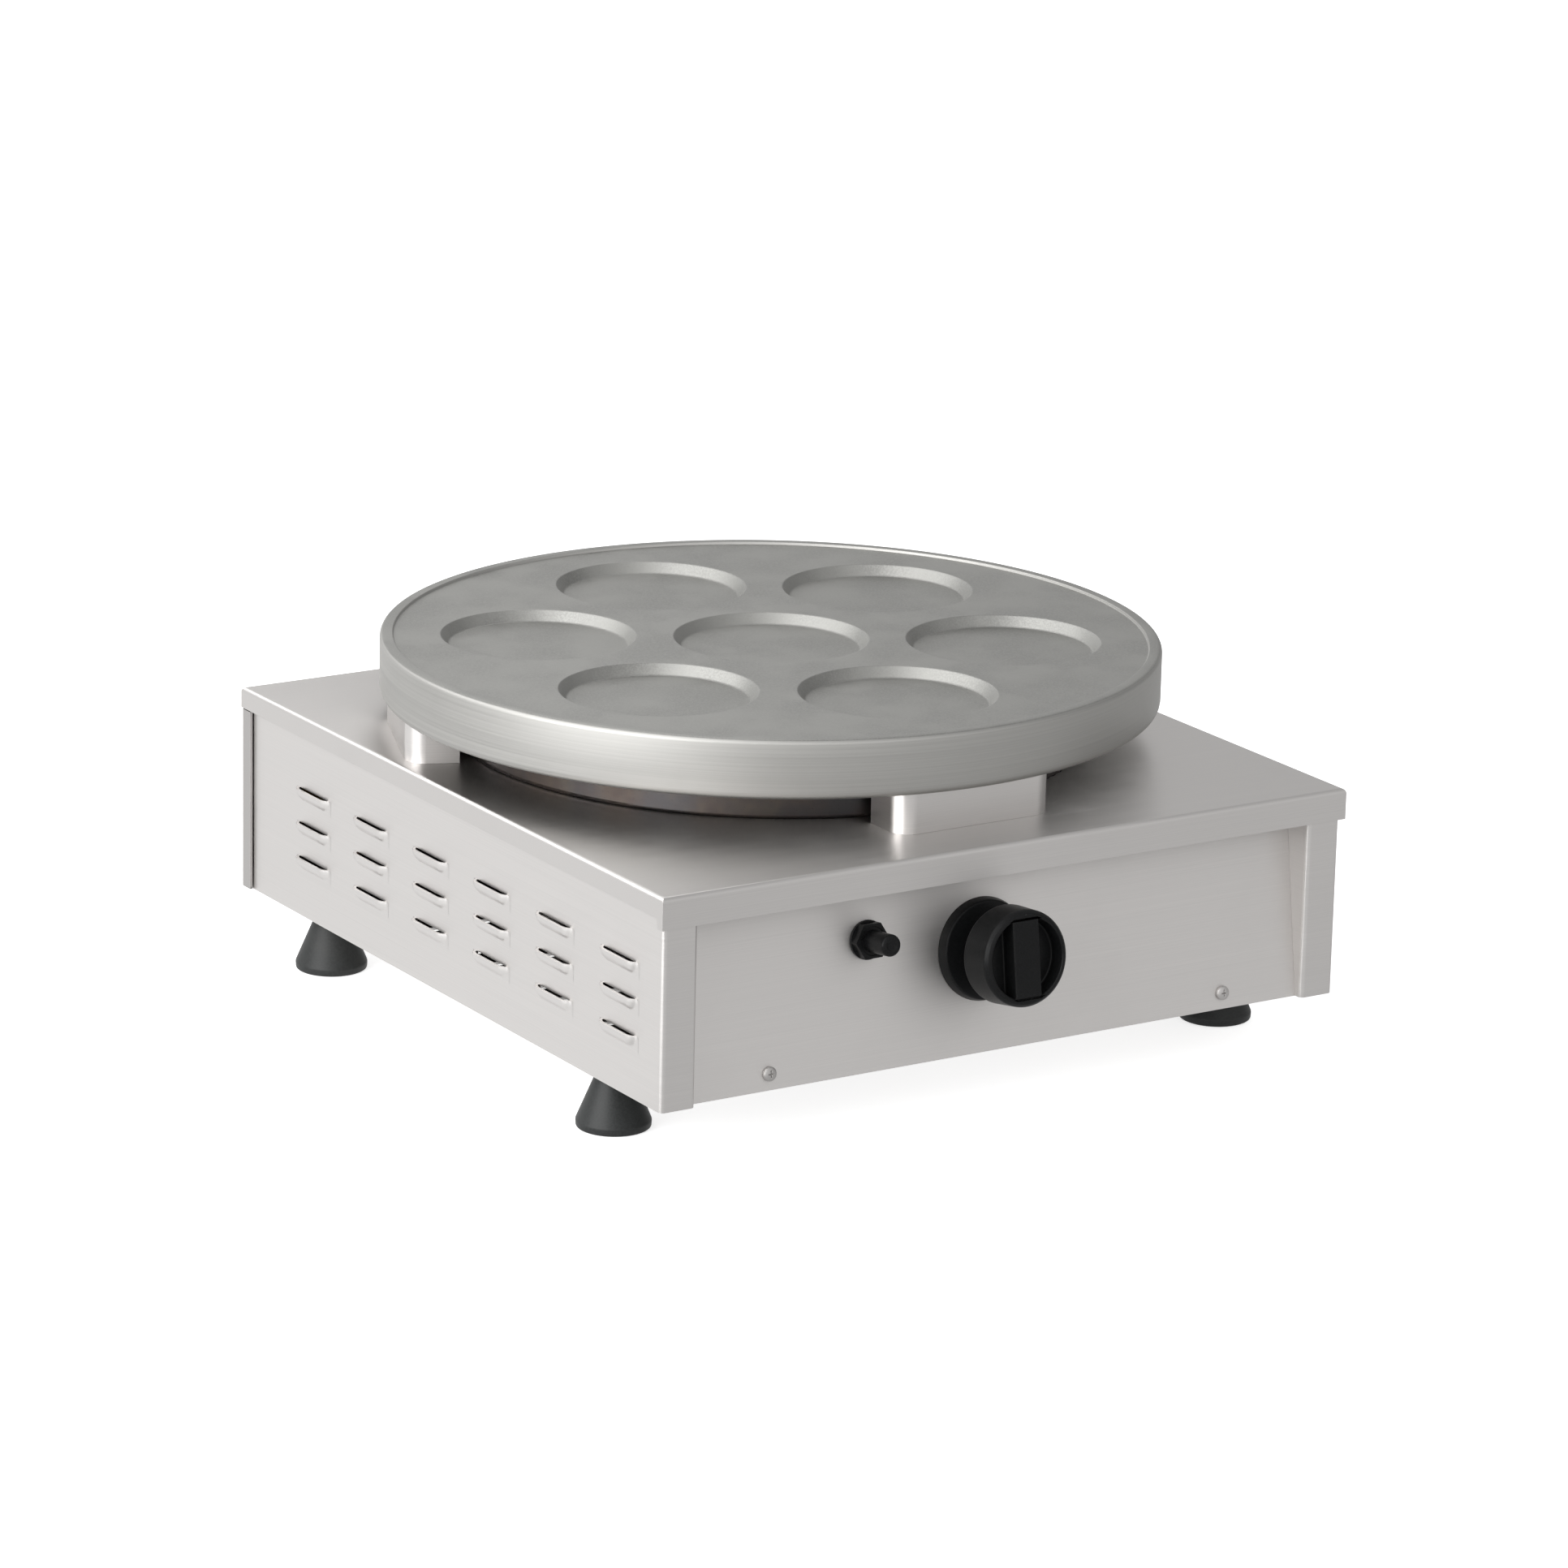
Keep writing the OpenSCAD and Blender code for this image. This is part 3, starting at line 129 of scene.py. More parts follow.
class ControlSizes(bpy.types.PropertyGroup):
    knob_back: length("Knob back", "Distance of the knob's neck from the panel", 10.5)
    knob_disc: length("Knob disc", "Distance of the knob's disc from the panel", 20)
    knob_reach: length("Knob reach", "Distance of the knob's front from the panel", 40)
    knob_width: length("Knob width", "Diameter of the knob at its back", 50)
    knob_front: length("Knob front", "Diameter of the knob at its front", 47)
    neck_width: length("Neck width", "Diameter of the knob's neck", 22)
    stem_width: length("Stem width", "Diameter of the bore for the valve's stem", 8.1)
    grip_width: length("Grip width", "Width of the bar across the knob's front", 15)
    grip_depth: length("Grip depth", "Depth of the hollows beside the bar", 9)
    grip_rim: length("Grip rim", "Width of the rim round the hollows", 3)
    knob_round: length("Knob round", "Rounding of the knob's edges", 0.8)
    pointer_length: length("Pointer length", "Length of the white line on the knob", 9.3)
    pointer_width: length("Pointer width", "Width of the white line on the knob", 1.9)
    bezel_width: length("Bezel width", "Diameter of the ring behind the knob", 52)
    bezel_height: length("Bezel height", "Height of the ring behind the knob", 5.5)
    bezel_bore: length("Bezel bore", "Diameter of the ring's hole", 10)
    button_width: length("Button width", "Diameter of the igniter's button", 11)
    button_back: length("Button back", "Length of the button behind the panel", 10)
    button_reach: length("Button reach", "Distance of the button's tip from the panel", 23)


class FittingSizes(bpy.types.PropertyGroup):
    sheet_edge: length("Sheet edge", "Rounding of the cut edges of sheet", 0.3)
    casting_edge: length("Casting edge", "Rounding of the edges of cast and turned pieces", 0.4)
    head_width: length("Head width", "Diameter of a panel screw's head", 7.2)
    head_height: length("Head height", "Height of a panel screw's head", 2.4)
    shank_width: length("Shank width", "Diameter of a panel screw", 4)
    shank_length: length("Shank length", "Length of a panel screw", 4.5)
    cross_width: length("Cross width", "Span of a panel screw's cross recess", 4)
    cross_depth: length("Cross depth", "Depth of a panel screw's cross recess", 1.5)
    thread_width: length("Thread width", "Outer diameter of the gas inlet's thread", 20.955)
    thread_pitch: length("Thread pitch", "Pitch of the gas inlet's thread", 1.814)
    thread_depth: length("Thread depth", "Depth of the gas inlet's thread", 1.1)
    inlet_bore: length("Inlet bore", "Bore of the gas inlet", 13)
    collar_height: length("Collar height", "Thickness of the gas inlet's hexagon", 6)
    collar_flats: length("Collar flats", "Width across the flats of the gas inlet's hexagon", 27)
    foot_width: length("Foot width", "Diameter of a foot on the table", 37.5)
    foot_top: length("Foot top", "Diameter of a foot under the case", 18)
    foot_hollow: length("Foot hollow", "Diameter of the hollow under a foot", 14)


class Finishes(bpy.types.PropertyGroup):
    steel: colour("Steel", "Brushed sheet of the case", (0.68, 0.662, 0.648))
    burnt: colour("Burnt steel", "Sheet that the flames have darkened", (0.06, 0.058, 0.06))
    plate_face: colour("Plate face", "Cooking face of the plate", (0.333, 0.331, 0.317))
    plate_side: colour("Plate side", "Turned side of the plate", (0.43, 0.425, 0.409))
    iron: colour("Iron", "Raw castings of the burner", (0.055, 0.053, 0.05))
    zinc: colour("Zinc", "Plated screws and nuts", (0.56, 0.57, 0.58))
    brass: colour("Brass", "Gas fittings", (0.68, 0.50, 0.22))
    copper: colour("Copper", "Gas pipes and probe", (0.72, 0.38, 0.25))
    plastic: colour("Plastic", "Knob, ring and igniter", (0.006, 0.0062, 0.0065))
    rubber: colour("Rubber", "Feet and spark lead", (0.014, 0.0155, 0.0155))
    ceramic: colour("Ceramic", "Spark electrode", (0.82, 0.80, 0.75))
    marking: colour("Marking", "White line on the knob", (0.75, 0.75, 0.73))
    grain: share("Grain", "Strength of the brushed grain", 0.5)


# Node trees


# Nearly all values of a noise lie between these
NOISE_RANGE = (0.3, 0.7)

# The numbers of a Mix node's colour sockets and of their result
MIX_COLOURS = (6, 7)
MIX_RESULT = 2


class NodeGraph:
    """Makes nodes in one tree: values that are sockets become links, other values become defaults."""

    def __init__(self, tree):
        self.tree = tree

    def give(self, socket, value):
        if isinstance(value, bpy.types.NodeSocket):
            self.tree.links.new(value, socket)
        else:
            socket.default_value = value

    def add(self, kind, values=None, **settings):
        node = self.tree.nodes.new(kind)
        for name, value in settings.items():
            setattr(node, name, value)
        for name, value in (values or {}).items():
            self.give(node.inputs[name], value)
        return node

    def math(self, operation, first, second=0.0):
        return self.add("ShaderNodeMath", {0: first, 1: second}, operation=operation).outputs[0]

    def scaled(self, value, amount):
        return self.math("MULTIPLY", value, amount)

    def vector(self, operation, first, second):
        return self.add("ShaderNodeVectorMath", {0: first, 1: second}, operation=operation).outputs[0]

    def axes(self, place):
        return self.add("ShaderNodeSeparateXYZ", {0: place}).outputs

    def noise(self, place, scale, detail=2.0, roughness=0.5):
        values = {"Vector": place, "Scale": scale, "Detail": detail, "Roughness": roughness}
        return self.add("ShaderNodeTexNoise", values).outputs["Fac"]

    def spread(self, value, low, high, to_low=0.0, to_high=1.0):
        values = {"Value": value, "From Min": low, "From Max": high, "To Min": to_low, "To Max": to_high}
        return self.add("ShaderNodeMapRange", values, interpolation_type="SMOOTHSTEP").outputs["Result"]

    def blend(self, amount, first, second):
        node = self.add("ShaderNodeMix", {0: amount}, data_type="RGBA")
        for socket, tone in zip(MIX_COLOURS, (first, second)):
            self.give(node.inputs[socket], tone if isinstance(tone, bpy.types.NodeSocket) else (*tone, 1.0))
        return node.outputs[MIX_RESULT]

    def shape(self, kind, **values):
        """The first output of a new geometry node; underscores in the inputs' names stand for spaces."""
        inputs = {name.replace("_", " "): value for name, value in values.items()}
        return self.add("GeometryNode" + kind, inputs).outputs[0]

    def join(self, *shapes):
        node = self.add("GeometryNodeJoinGeometry")
        for shape in shapes:
            self.tree.links.new(shape, node.inputs[0])
        return node.outputs[0]


def bare_graph(block):
    """The emptied node graph of a material or a world."""
    block.use_nodes = True
    block.node_tree.nodes.clear()
    return NodeGraph(block.node_tree)


def new_tree(name, kind, inputs, outputs):
    """An empty node tree with named and typed sockets; returns its graph and what its input node gives."""
    tree = bpy.data.node_groups.new(name, kind)
    for way, sockets in (("INPUT", inputs), ("OUTPUT", outputs)):
        for label, sort in sockets.items():
            tree.interface.new_socket(label, in_out=way, socket_type="NodeSocket" + sort)
    graph = NodeGraph(tree)
    return graph, graph.add("NodeGroupInput").outputs


def made_once(store):
    """Lets a function make the data-block of its own name once; later calls hand that one out."""

    def wrap(make):
        @functools.wraps(make)
        def block():
            return getattr(bpy.data, store).get(make.__name__) or make(make.__name__)

        return block

    return wrap


# Shader groups


def new_mask(name, outputs, **more_inputs):
    """An empty shader group that works masks out from a place."""
    inputs = {"Place": "Vector", **more_inputs}
    return new_tree(name, "ShaderNodeTree", inputs, dict.fromkeys(outputs, "Float"))


@made_once("node_groups")
def brushed_grain(name):
    """Fine drawn lines and the broad bands between them, for sheet that was brushed one way."""
    graph, given = new_mask(name, ("Lines", "Bands"), Stretch="Vector")
    drawn = graph.vector("MULTIPLY", given["Place"], given["Stretch"])
    fine = graph.noise(drawn, 1.0, 3.0, 0.62)
    broad = graph.noise(drawn, 0.09, 2.0)
    graph.add("NodeGroupOutput", {"Lines": fine, "Bands": broad})
    return graph.tree


@made_once("node_groups")
def cast_grain(name):
    """The small bumps and pores of a casting, at real size."""
    graph, given = new_mask(name, ("Bumps", "Pores", "Mottle"))
    bumps = graph.noise(given["Place"], 1100.0, 4.0, 0.6)
    cells = graph.add("ShaderNodeTexVoronoi", {"Vector": given["Place"], "Scale": 520.0}).outputs["Distance"]
    pores = graph.spread(cells, 0.16, 0.05)
    mottle = graph.noise(given["Place"], 26.0, 5.0, 0.6)
    graph.add("NodeGroupOutput", {"Bumps": bumps, "Pores": pores, "Mottle": mottle})
    return graph.tree


@made_once("node_groups")
def handling_marks(name):
    """Faint smears and specks that hands and cloths leave on a smooth finish."""
    graph, given = new_mask(name, ("Smears", "Specks"))
    smears = graph.spread(graph.noise(given["Place"], 14.0, 4.0, 0.65), 0.48, 0.72)
    specks = graph.spread(graph.noise(given["Place"], 480.0, 2.0), 0.70, 0.78)
    graph.add("NodeGroupOutput", {"Smears": smears, "Specks": specks})
    return graph.tree


@made_once("node_groups")
def edge_wear(name):
    """Where a form's outer edges are rubbed bright, broken up by noise."""
    graph, given = new_mask(name, ("Wear",))
    point = graph.add("ShaderNodeNewGeometry").outputs["Pointiness"]
    edges = graph.spread(point, 0.515, 0.60)
    broken = graph.spread(graph.noise(given["Place"], 300.0, 3.0), *NOISE_RANGE)
    graph.add("NodeGroupOutput", {"Wear": graph.scaled(edges, broken)})
    return graph.tree


# Finishes


BROWN_SCALE = (0.075, 0.062, 0.058)
STRAW_TINT = (0.14, 0.115, 0.085)
RUST = (0.085, 0.075, 0.066)
DUST = (0.16, 0.155, 0.145)

# How closely a grain's lines are packed along each axis, per metre
LINES_ALONG_X = (6.0, 2600.0, 2600.0)
COARSE_LINES_ALONG_X = (6.0, 900.0, 900.0)
LEVEL_LINES = (6.0, 6.0, 2600.0)
RINGS_ABOUT_Z = (3.0, 3.0, 1900.0)

# Ways across the brushing, along which reflections blur
ACROSS_X = (0.0, 1.0, 1.0)
UPWARDS = (0.0, 0.0, 1.0)


def shade(tone, amount):
    return tuple(channel * amount for channel in tone)


class FinishGraph(NodeGraph):
    """The graph of a new material, with its shader, the place on the object and the finishes' settings."""

    def __init__(self, name):
        self.material = bpy.data.materials.new(name)
        self.material.use_nodes = True
        super().__init__(self.material.node_tree)
        self.shader = self.tree.nodes["Principled BSDF"]
        self.place = self.add("ShaderNodeTexCoord").outputs["Object"]
        self.settings = bpy.context.scene.pancake_finishes

    def tone(self, setting, amount=1.0):
        return shade(getattr(self.settings, setting), amount)

    def group(self, tree, **values):
        return self.add("ShaderNodeGroup", {"Place": self.place, **values}, node_tree=tree).outputs

    def bump(self, height, strength, distance):
        values = {"Height": height, "Strength": strength, "Distance": distance}
        return self.add("ShaderNodeBump", values).outputs["Normal"]

    def complete(self, colour, roughness, normal, **values):
        """Links the shader's main inputs, sets the others, and returns the material."""
        given = {"Base_Color": colour, "Roughness": roughness, "Normal": normal, **values}
        for name, value in given.items():
            self.give(self.shader.inputs[name.replace("_", " ")], value)
        return self.material


def brushed_steel(name, stretch, across, bright=1.0, blur=0.31, uneven=0.6):
    """Stainless sheet whose lines run along the axes that stretch leaves low, and which blurs across them."""
    look = FinishGraph(name)
    tone = look.tone("steel", bright)
    grain = look.group(brushed_grain(), Stretch=stretch)
    smears = look.group(handling_marks())["Smears"]
    lined = look.blend(look.spread(grain["Lines"], 0.32, 0.68), shade(tone, 0.97), shade(tone, 1.03))
    banded = look.blend(look.scaled(look.spread(grain["Bands"], *NOISE_RANGE), 0.5), lined, tone)
    rough = look.spread(grain["Lines"], *NOISE_RANGE, blur, blur + 0.06)
    smeared = look.math("ADD", rough, look.scaled(smears, 0.05))
    scored = look.bump(grain["Lines"], 0.12 * look.settings.grain, 0.02 * MM)
    tangent = look.add("ShaderNodeCombineXYZ", dict(zip("XYZ", across))).outputs[0]
    return look.complete(banded, smeared, scored, Tangent=tangent, Metallic=1.0, Anisotropic=uneven)


@made_once("materials")
def steel_level(name):
    """Sheet of the cover, brushed along X and hazy from wiping, so that it blurs far across its lines."""
    return brushed_steel(name, LINES_ALONG_X, ACROSS_X, blur=0.38, uneven=0.8)


@made_once("materials")
def steel_front(name):
    """Sheet of the front, brushed along X and dulled by many wipes."""
    return brushed_steel(name, LINES_ALONG_X, ACROSS_X, bright=1.08, blur=0.47, uneven=0.5)


@made_once("materials")
def steel_upright(name):
    """Sheet of the sides, brushed along its length, round its bends too."""
    return brushed_steel(name, LEVEL_LINES, UPWARDS)


@made_once("materials")
def steel_mill(name):
    """The plainer sheet of the back and the base, as it left the mill."""
    return brushed_steel(name, COARSE_LINES_ALONG_X, ACROSS_X, bright=0.72)


@made_once("materials")
def steel_burnt(name):
    """Sheet near the flames: dark scale with brown and straw tints where the heat was less."""
    look = FinishGraph(name)
    tone = look.tone("burnt")
    grain = look.group(cast_grain())
    smears = look.group(handling_marks())["Smears"]
    tinted = look.blend(look.spread(grain["Mottle"], 0.35, 0.65), tone, BROWN_SCALE)
    straw = look.blend(look.scaled(smears, 0.5), tinted, STRAW_TINT)
    pored = look.blend(look.scaled(grain["Pores"], 0.5), straw, shade(tone, 0.5))
    rough = look.spread(grain["Mottle"], *NOISE_RANGE, 0.34, 0.48)
    return look.complete(pored, rough, look.bump(grain["Bumps"], 0.2, 0.05 * MM), Metallic=1.0)


@made_once("materials")
def plate_face(name):
    """Machined and seasoned iron of the cooking face and its pits."""
    look = FinishGraph(name)
    tone = look.tone(name)
    grain = look.group(cast_grain())
    wear = look.group(edge_wear())["Wear"]
    mottled = look.blend(look.spread(grain["Mottle"], 0.35, 0.65), shade(tone, 0.90), shade(tone, 1.07))
    fine = look.blend(look.spread(grain["Bumps"], 0.35, 0.7), mottled, shade(tone, 1.12))
    pored = look.blend(look.scaled(grain["Pores"], 0.35), fine, shade(tone, 0.62))
    worn = look.blend(look.scaled(wear, 0.5), pored, shade(tone, 1.35))
    rough = look.spread(grain["Mottle"], *NOISE_RANGE, 0.43, 0.52)
    rubbed = look.math("SUBTRACT", rough, look.scaled(wear, 0.12))
    return look.complete(worn, rubbed, look.bump(grain["Bumps"], 0.22, 0.05 * MM), Metallic=1.0)


@made_once("materials")
def plate_side(name):
    """Turned iron of the plate's rim and underside, with the tool's fine rings."""
    look = FinishGraph(name)
    tone = look.tone(name)
    rings = look.group(brushed_grain(), Stretch=RINGS_ABOUT_Z)["Lines"]
    mottle = look.group(cast_grain())["Mottle"]
    wear = look.group(edge_wear())["Wear"]
    lined = look.blend(look.spread(rings, 0.32, 0.68), shade(tone, 0.93), shade(tone, 1.05))
    mottled = look.blend(look.scaled(look.spread(mottle, 0.5, 0.75), 0.25), lined, shade(tone, 0.84))
    worn = look.blend(look.scaled(wear, 0.6), mottled, shade(tone, 1.2))
    rough = look.spread(rings, *NOISE_RANGE, 0.44, 0.54)
    return look.complete(worn, rough, look.bump(rings, 0.12, 0.03 * MM), Metallic=1.0)


def plain_metal(name, setting, roughness, bright=1.0, dull=0.82):
    """Turned or plated metal with slight stains and a fine skin."""
    look = FinishGraph(name)
    tone = look.tone(setting, bright)
    grain = look.group(cast_grain())
    specks = look.group(handling_marks())["Specks"]
    wear = look.group(edge_wear())["Wear"]
    rubbed = tuple(min(1.0, channel) for channel in shade(tone, 1.25))
    stained = look.blend(look.spread(grain["Mottle"], 0.4, 0.7), tone, shade(tone, dull))
    spotted = look.blend(look.scaled(specks, 0.2), stained, shade(tone, 0.5))
    worn = look.blend(look.scaled(wear, 0.6), spotted, rubbed)
    rough = look.spread(grain["Mottle"], *NOISE_RANGE, roughness, roughness + 0.12)
    return look.complete(worn, rough, look.bump(grain["Bumps"], 0.08, 0.02 * MM), Metallic=1.0)


@made_once("materials")
def zinc(name):
    """Bright plating of the screws and nuts inside."""
    return plain_metal(name, "zinc", roughness=0.32)


@made_once("materials")
def screw_steel(name):
    """Plain steel of the screws in the panels."""
    return plain_metal(name, "steel", roughness=0.42, bright=0.8)


@made_once("materials")
def brass(name):
    """Machined brass of the gas fittings."""
    return plain_metal(name, "brass", roughness=0.28)


@made_once("materials")
def copper(name):
    """Copper of the pipes and the probe, stained by heat."""
    return plain_metal(name, "copper", roughness=0.30, dull=0.7)


@made_once("materials")
def iron(name):
    """Raw cast iron of the burner, rough and dark."""
    look = FinishGraph(name)
    tone = look.tone(name)
    grain = look.group(cast_grain())
    mottled = look.blend(look.spread(grain["Mottle"], 0.35, 0.7), tone, RUST)
    pored = look.blend(look.scaled(grain["Pores"], 0.6), mottled, shade(tone, 0.4))
    rough = look.spread(grain["Bumps"], *NOISE_RANGE, 0.62, 0.8)
    return look.complete(pored, rough, look.bump(grain["Bumps"], 0.5, 0.15 * MM), Metallic=0.6)


def moulded(name, roughness, grain_scale, grain_depth, dusty, gloss):
    """A moulded black part: fine spark-eroded grain, slight sheen changes and pale dust."""
    look = FinishGraph(name)
    tone = look.tone(name)
    smears = look.group(handling_marks())["Smears"]
    skin = look.noise(look.place, grain_scale, 3.0, 0.6)
    toned = look.blend(look.spread(skin, 0.35, 0.65), shade(tone, 0.8), shade(tone, 1.3))
    dusted = look.blend(look.scaled(smears, dusty), toned, DUST)
    rough = look.spread(skin, *NOISE_RANGE, roughness - 0.05, roughness + 0.05)
    smeared = look.math("ADD", rough, look.scaled(smears, 0.08))
    return look.complete(dusted, smeared, look.bump(skin, 0.25, grain_depth), Specular_IOR_Level=gloss)


@made_once("materials")
def plastic(name):
    """Satin black of the knob, its ring and the igniter."""
    return moulded(name, 0.34, grain_scale=1500.0, grain_depth=0.03 * MM, dusty=0.02, gloss=0.13)


@made_once("materials")
def rubber(name):
    """Black rubber of the feet and the spark lead."""
    return moulded(name, 0.46, grain_scale=900.0, grain_depth=0.05 * MM, dusty=0.08, gloss=0.36)


def coated(name, scale, dull, smooth, rough, strength, depth):
    """A white coat whose tone and gloss change a little from place to place."""
    look = FinishGraph(name)
    tone = look.tone(name)
    coat = look.noise(look.place, scale, 3.0)
    toned = look.blend(look.spread(coat, *NOISE_RANGE), shade(tone, dull), tone)
    roughness = look.spread(coat, *NOISE_RANGE, smooth, rough)
    return look.complete(toned, roughness, look.bump(coat, strength, depth))


@made_once("materials")
def ceramic(name):
    """Glazed white ceramic with a faint crawl in its glaze."""
    return coated(name, scale=160.0, dull=0.94, smooth=0.12, rough=0.2, strength=0.1, depth=0.05 * MM)


@made_once("materials")
def marking(name):
    """The white paint in the knob's groove, slightly uneven."""
    return coated(name, scale=900.0, dull=0.86, smooth=0.4, rough=0.55, strength=0.2, depth=0.03 * MM)


# Mesh helpers


SAME_PLACE = 0.002 * MM
SEWN_GAP = 0.01 * MM
ON_AXIS = 1e-7


def new_object(name, mesh):
    piece = bpy.data.objects.new(name, mesh)
    bpy.context.scene.collection.objects.link(piece)
    return piece


def mesh_from(name, form):
    """Turns a bmesh into a mesh and lets the bmesh go."""
    mesh = bpy.data.meshes.new(name)
    form.to_mesh(mesh)
    form.free()
    return mesh


def object_from(name, form, smooth_angle=32.0):
    """Turns a bmesh into an object with outward normals, smooth except at edges sharper than the angle."""
    bmesh.ops.recalc_face_normals(form, faces=form.faces[:])
    mesh = mesh_from(name, form)
    mesh.shade_smooth()
    mesh.set_sharp_from_angle(angle=math.radians(smooth_angle))
    return new_object(name, mesh)


def settle(piece):
    """Puts the modifiers' result into the piece's own mesh and removes them."""
    seen = bpy.context.evaluated_depsgraph_get()
    mesh = bpy.data.meshes.new_from_object(piece.evaluated_get(seen), depsgraph=seen)
    piece.modifiers.clear()
    piece.data = mesh
    if not mesh.polygons:
        raise RuntimeError(piece.name + " came out with no faces")
    return piece


def merge_facets(form, angle):
    """Merges neighbouring facets that lie within an angle, in degrees, of one plane."""
    bmesh.ops.dissolve_limit(
        form,
        angle_limit=math.radians(angle),
        verts=form.verts[:],
        edges=form.edges[:],
        use_dissolve_boundaries=False,
    )


def round_edges(piece, width, segments=2, angle=30.0):
    """Rounds the piece's edges that are sharper than an angle, with flat faces that stay flat."""
    edges = piece.modifiers.new("rounded", "BEVEL")
    edges.width = width
    edges.segments = segments
    edges.limit_method = "ANGLE"
    edges.angle_limit = math.radians(angle)
    edges.harden_normals = True
    edges.use_clamp_overlap = True
    level = piece.modifiers.new("level", "WEIGHTED_NORMAL")
    level.mode = "FACE_AREA"
    level.weight = 100
    level.keep_sharp = True
    return settle(piece)


def paint(piece, material):
    """Gives a piece one finish in place of what it had."""
    piece.data.materials.clear()
    piece.data.materials.append(material)


def paint_nodes(material, *nodes):
    """Gives nodes that keep their own solids a finish."""
    for node in nodes:
        paint(frame["nodes"][node], material)


def finish_piece(piece, body, slot, material, *nodes):
    """Gives a piece its finish, unless a tree has set it, its body, its slot and the nodes it stands for."""
    if material:
        paint(piece, material)
    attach(piece, body)
    if nodes:
        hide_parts(*nodes)


def dress(node, slot, material, width, segments=2):
    """Puts a copy of a node's solid in its place, its facets merged and its edges rounded."""
    form = bmesh.new()
    form.from_mesh(frame["nodes"][node].data)
    bmesh.ops.remove_doubles(form, verts=form.verts[:], dist=SAME_PLACE)
    merge_facets(form, angle=0.3)
    piece = round_edges(object_from("dressed_" + node, form), width, segments)
    finish_piece(piece, "case", slot, material, node)


def pairs(loop):
    """Each point of a closed loop with the one after it."""
    return zip(loop, loop[1:] + loop[:1])


def walls(form, loops):
    """Adds the faces between closed loops that have as many points, each loop to the next."""
    for low, high in zip(loops, loops[1:]):
        for (low_first, low_second), (high_first, high_second) in zip(pairs(low), pairs(high)):
            form.faces.new((low_first, low_second, high_second, high_first))


def ring(form, around, height, radius_at):
    """Adds a level loop of points about Z whose radius is worked out from each point's angle."""
    loop = []
    for step in range(around):
        angle = 2 * math.pi * step / around
        radius = radius_at(angle)
        loop.append(form.verts.new((radius * math.cos(angle), radius * math.sin(angle), height)))
    return loop


def circle(form, around, height, radius):
    return ring(form, around, height, lambda angle: radius)


def softened(corners, steps=5):
    """A profile whose corners are rounded: corners are (radius, height, rounding) and the ends stay sharp."""
    line = [Vector(corners[0][:2])]
    for before, corner, after in zip(corners, corners[1:], corners[2:]):
        tip = Vector(corner[:2])
        rounding = corner[2]
        if rounding <= 0:
            line.append(tip)
            continue
        back = (Vector(before[:2]) - tip).normalized()
        ahead = (Vector(after[:2]) - tip).normalized()
        half = back.angle(ahead) / 2
        run = rounding / math.tan(half)
        middle = tip + (back + ahead).normalized() * (rounding / math.sin(half))
        start = tip + back * run - middle
        turn = (tip + ahead * run - middle).angle_signed(start)
        line += [middle + Matrix.Rotation(turn * step / steps, 2) @ start for step in range(steps + 1)]
    line.append(Vector(corners[-1][:2]))
    return line


def revolved(profile, around):
    """The surface of a (radius, height) profile about Z, closed where the radius is zero."""
    form = bmesh.new()
    loops = []
    for radius, height in profile:
        if radius < ON_AXIS:
            loops.append([form.verts.new((0, 0, height))])
        else:
            loops.append(circle(form, around, height, radius))
    for low, high in zip(loops, loops[1:]):
        if len(low) > 1 and len(high) > 1:
            walls(form, (low, high))
        elif len(low) > 1:
            for first, second in pairs(low):
                form.faces.new((first, second, high[0]))
        elif len(high) > 1:
            for first, second in pairs(high):
                form.faces.new((low[0], first, second))
    return form


def joint_named(name):
    return next(joint for joint in frame["joints"] if joint["name"] == name)


def panel_place(joint):
    """The matrix that turns a form with Z out of the leaning panel to a control's axis."""
    out = Vector(joint_named(joint)["axis"]).normalized()
    if out.y > 0:
        out = -out
    side = Vector((1, 0, 0))
    return Matrix((side, out.cross(side), out)).transposed().to_4x4()


# Geometry node trees


def new_shape_tree(name, **inputs):
    """An empty geometry tree with typed inputs; underscores in their names stand for spaces."""
    named = {label.replace("_", " "): sort for label, sort in inputs.items()}
    return new_tree(name, "GeometryNodeTree", {"Geometry": "Geometry", **named}, {"Geometry": "Geometry"})


def run_tree(piece, tree, **values):
    """Runs a geometry tree on the piece with its inputs set by identifier, and keeps the result as a mesh."""
    modifier = piece.modifiers.new(tree.name, "NODES")
    modifier.node_group = tree
    sockets = {item.name: item.identifier for item in tree.interface.items_tree if item.in_out == "INPUT"}
    for name, value in values.items():
        modifier[sockets[name.replace("_", " ")]] = value
    return settle(piece)


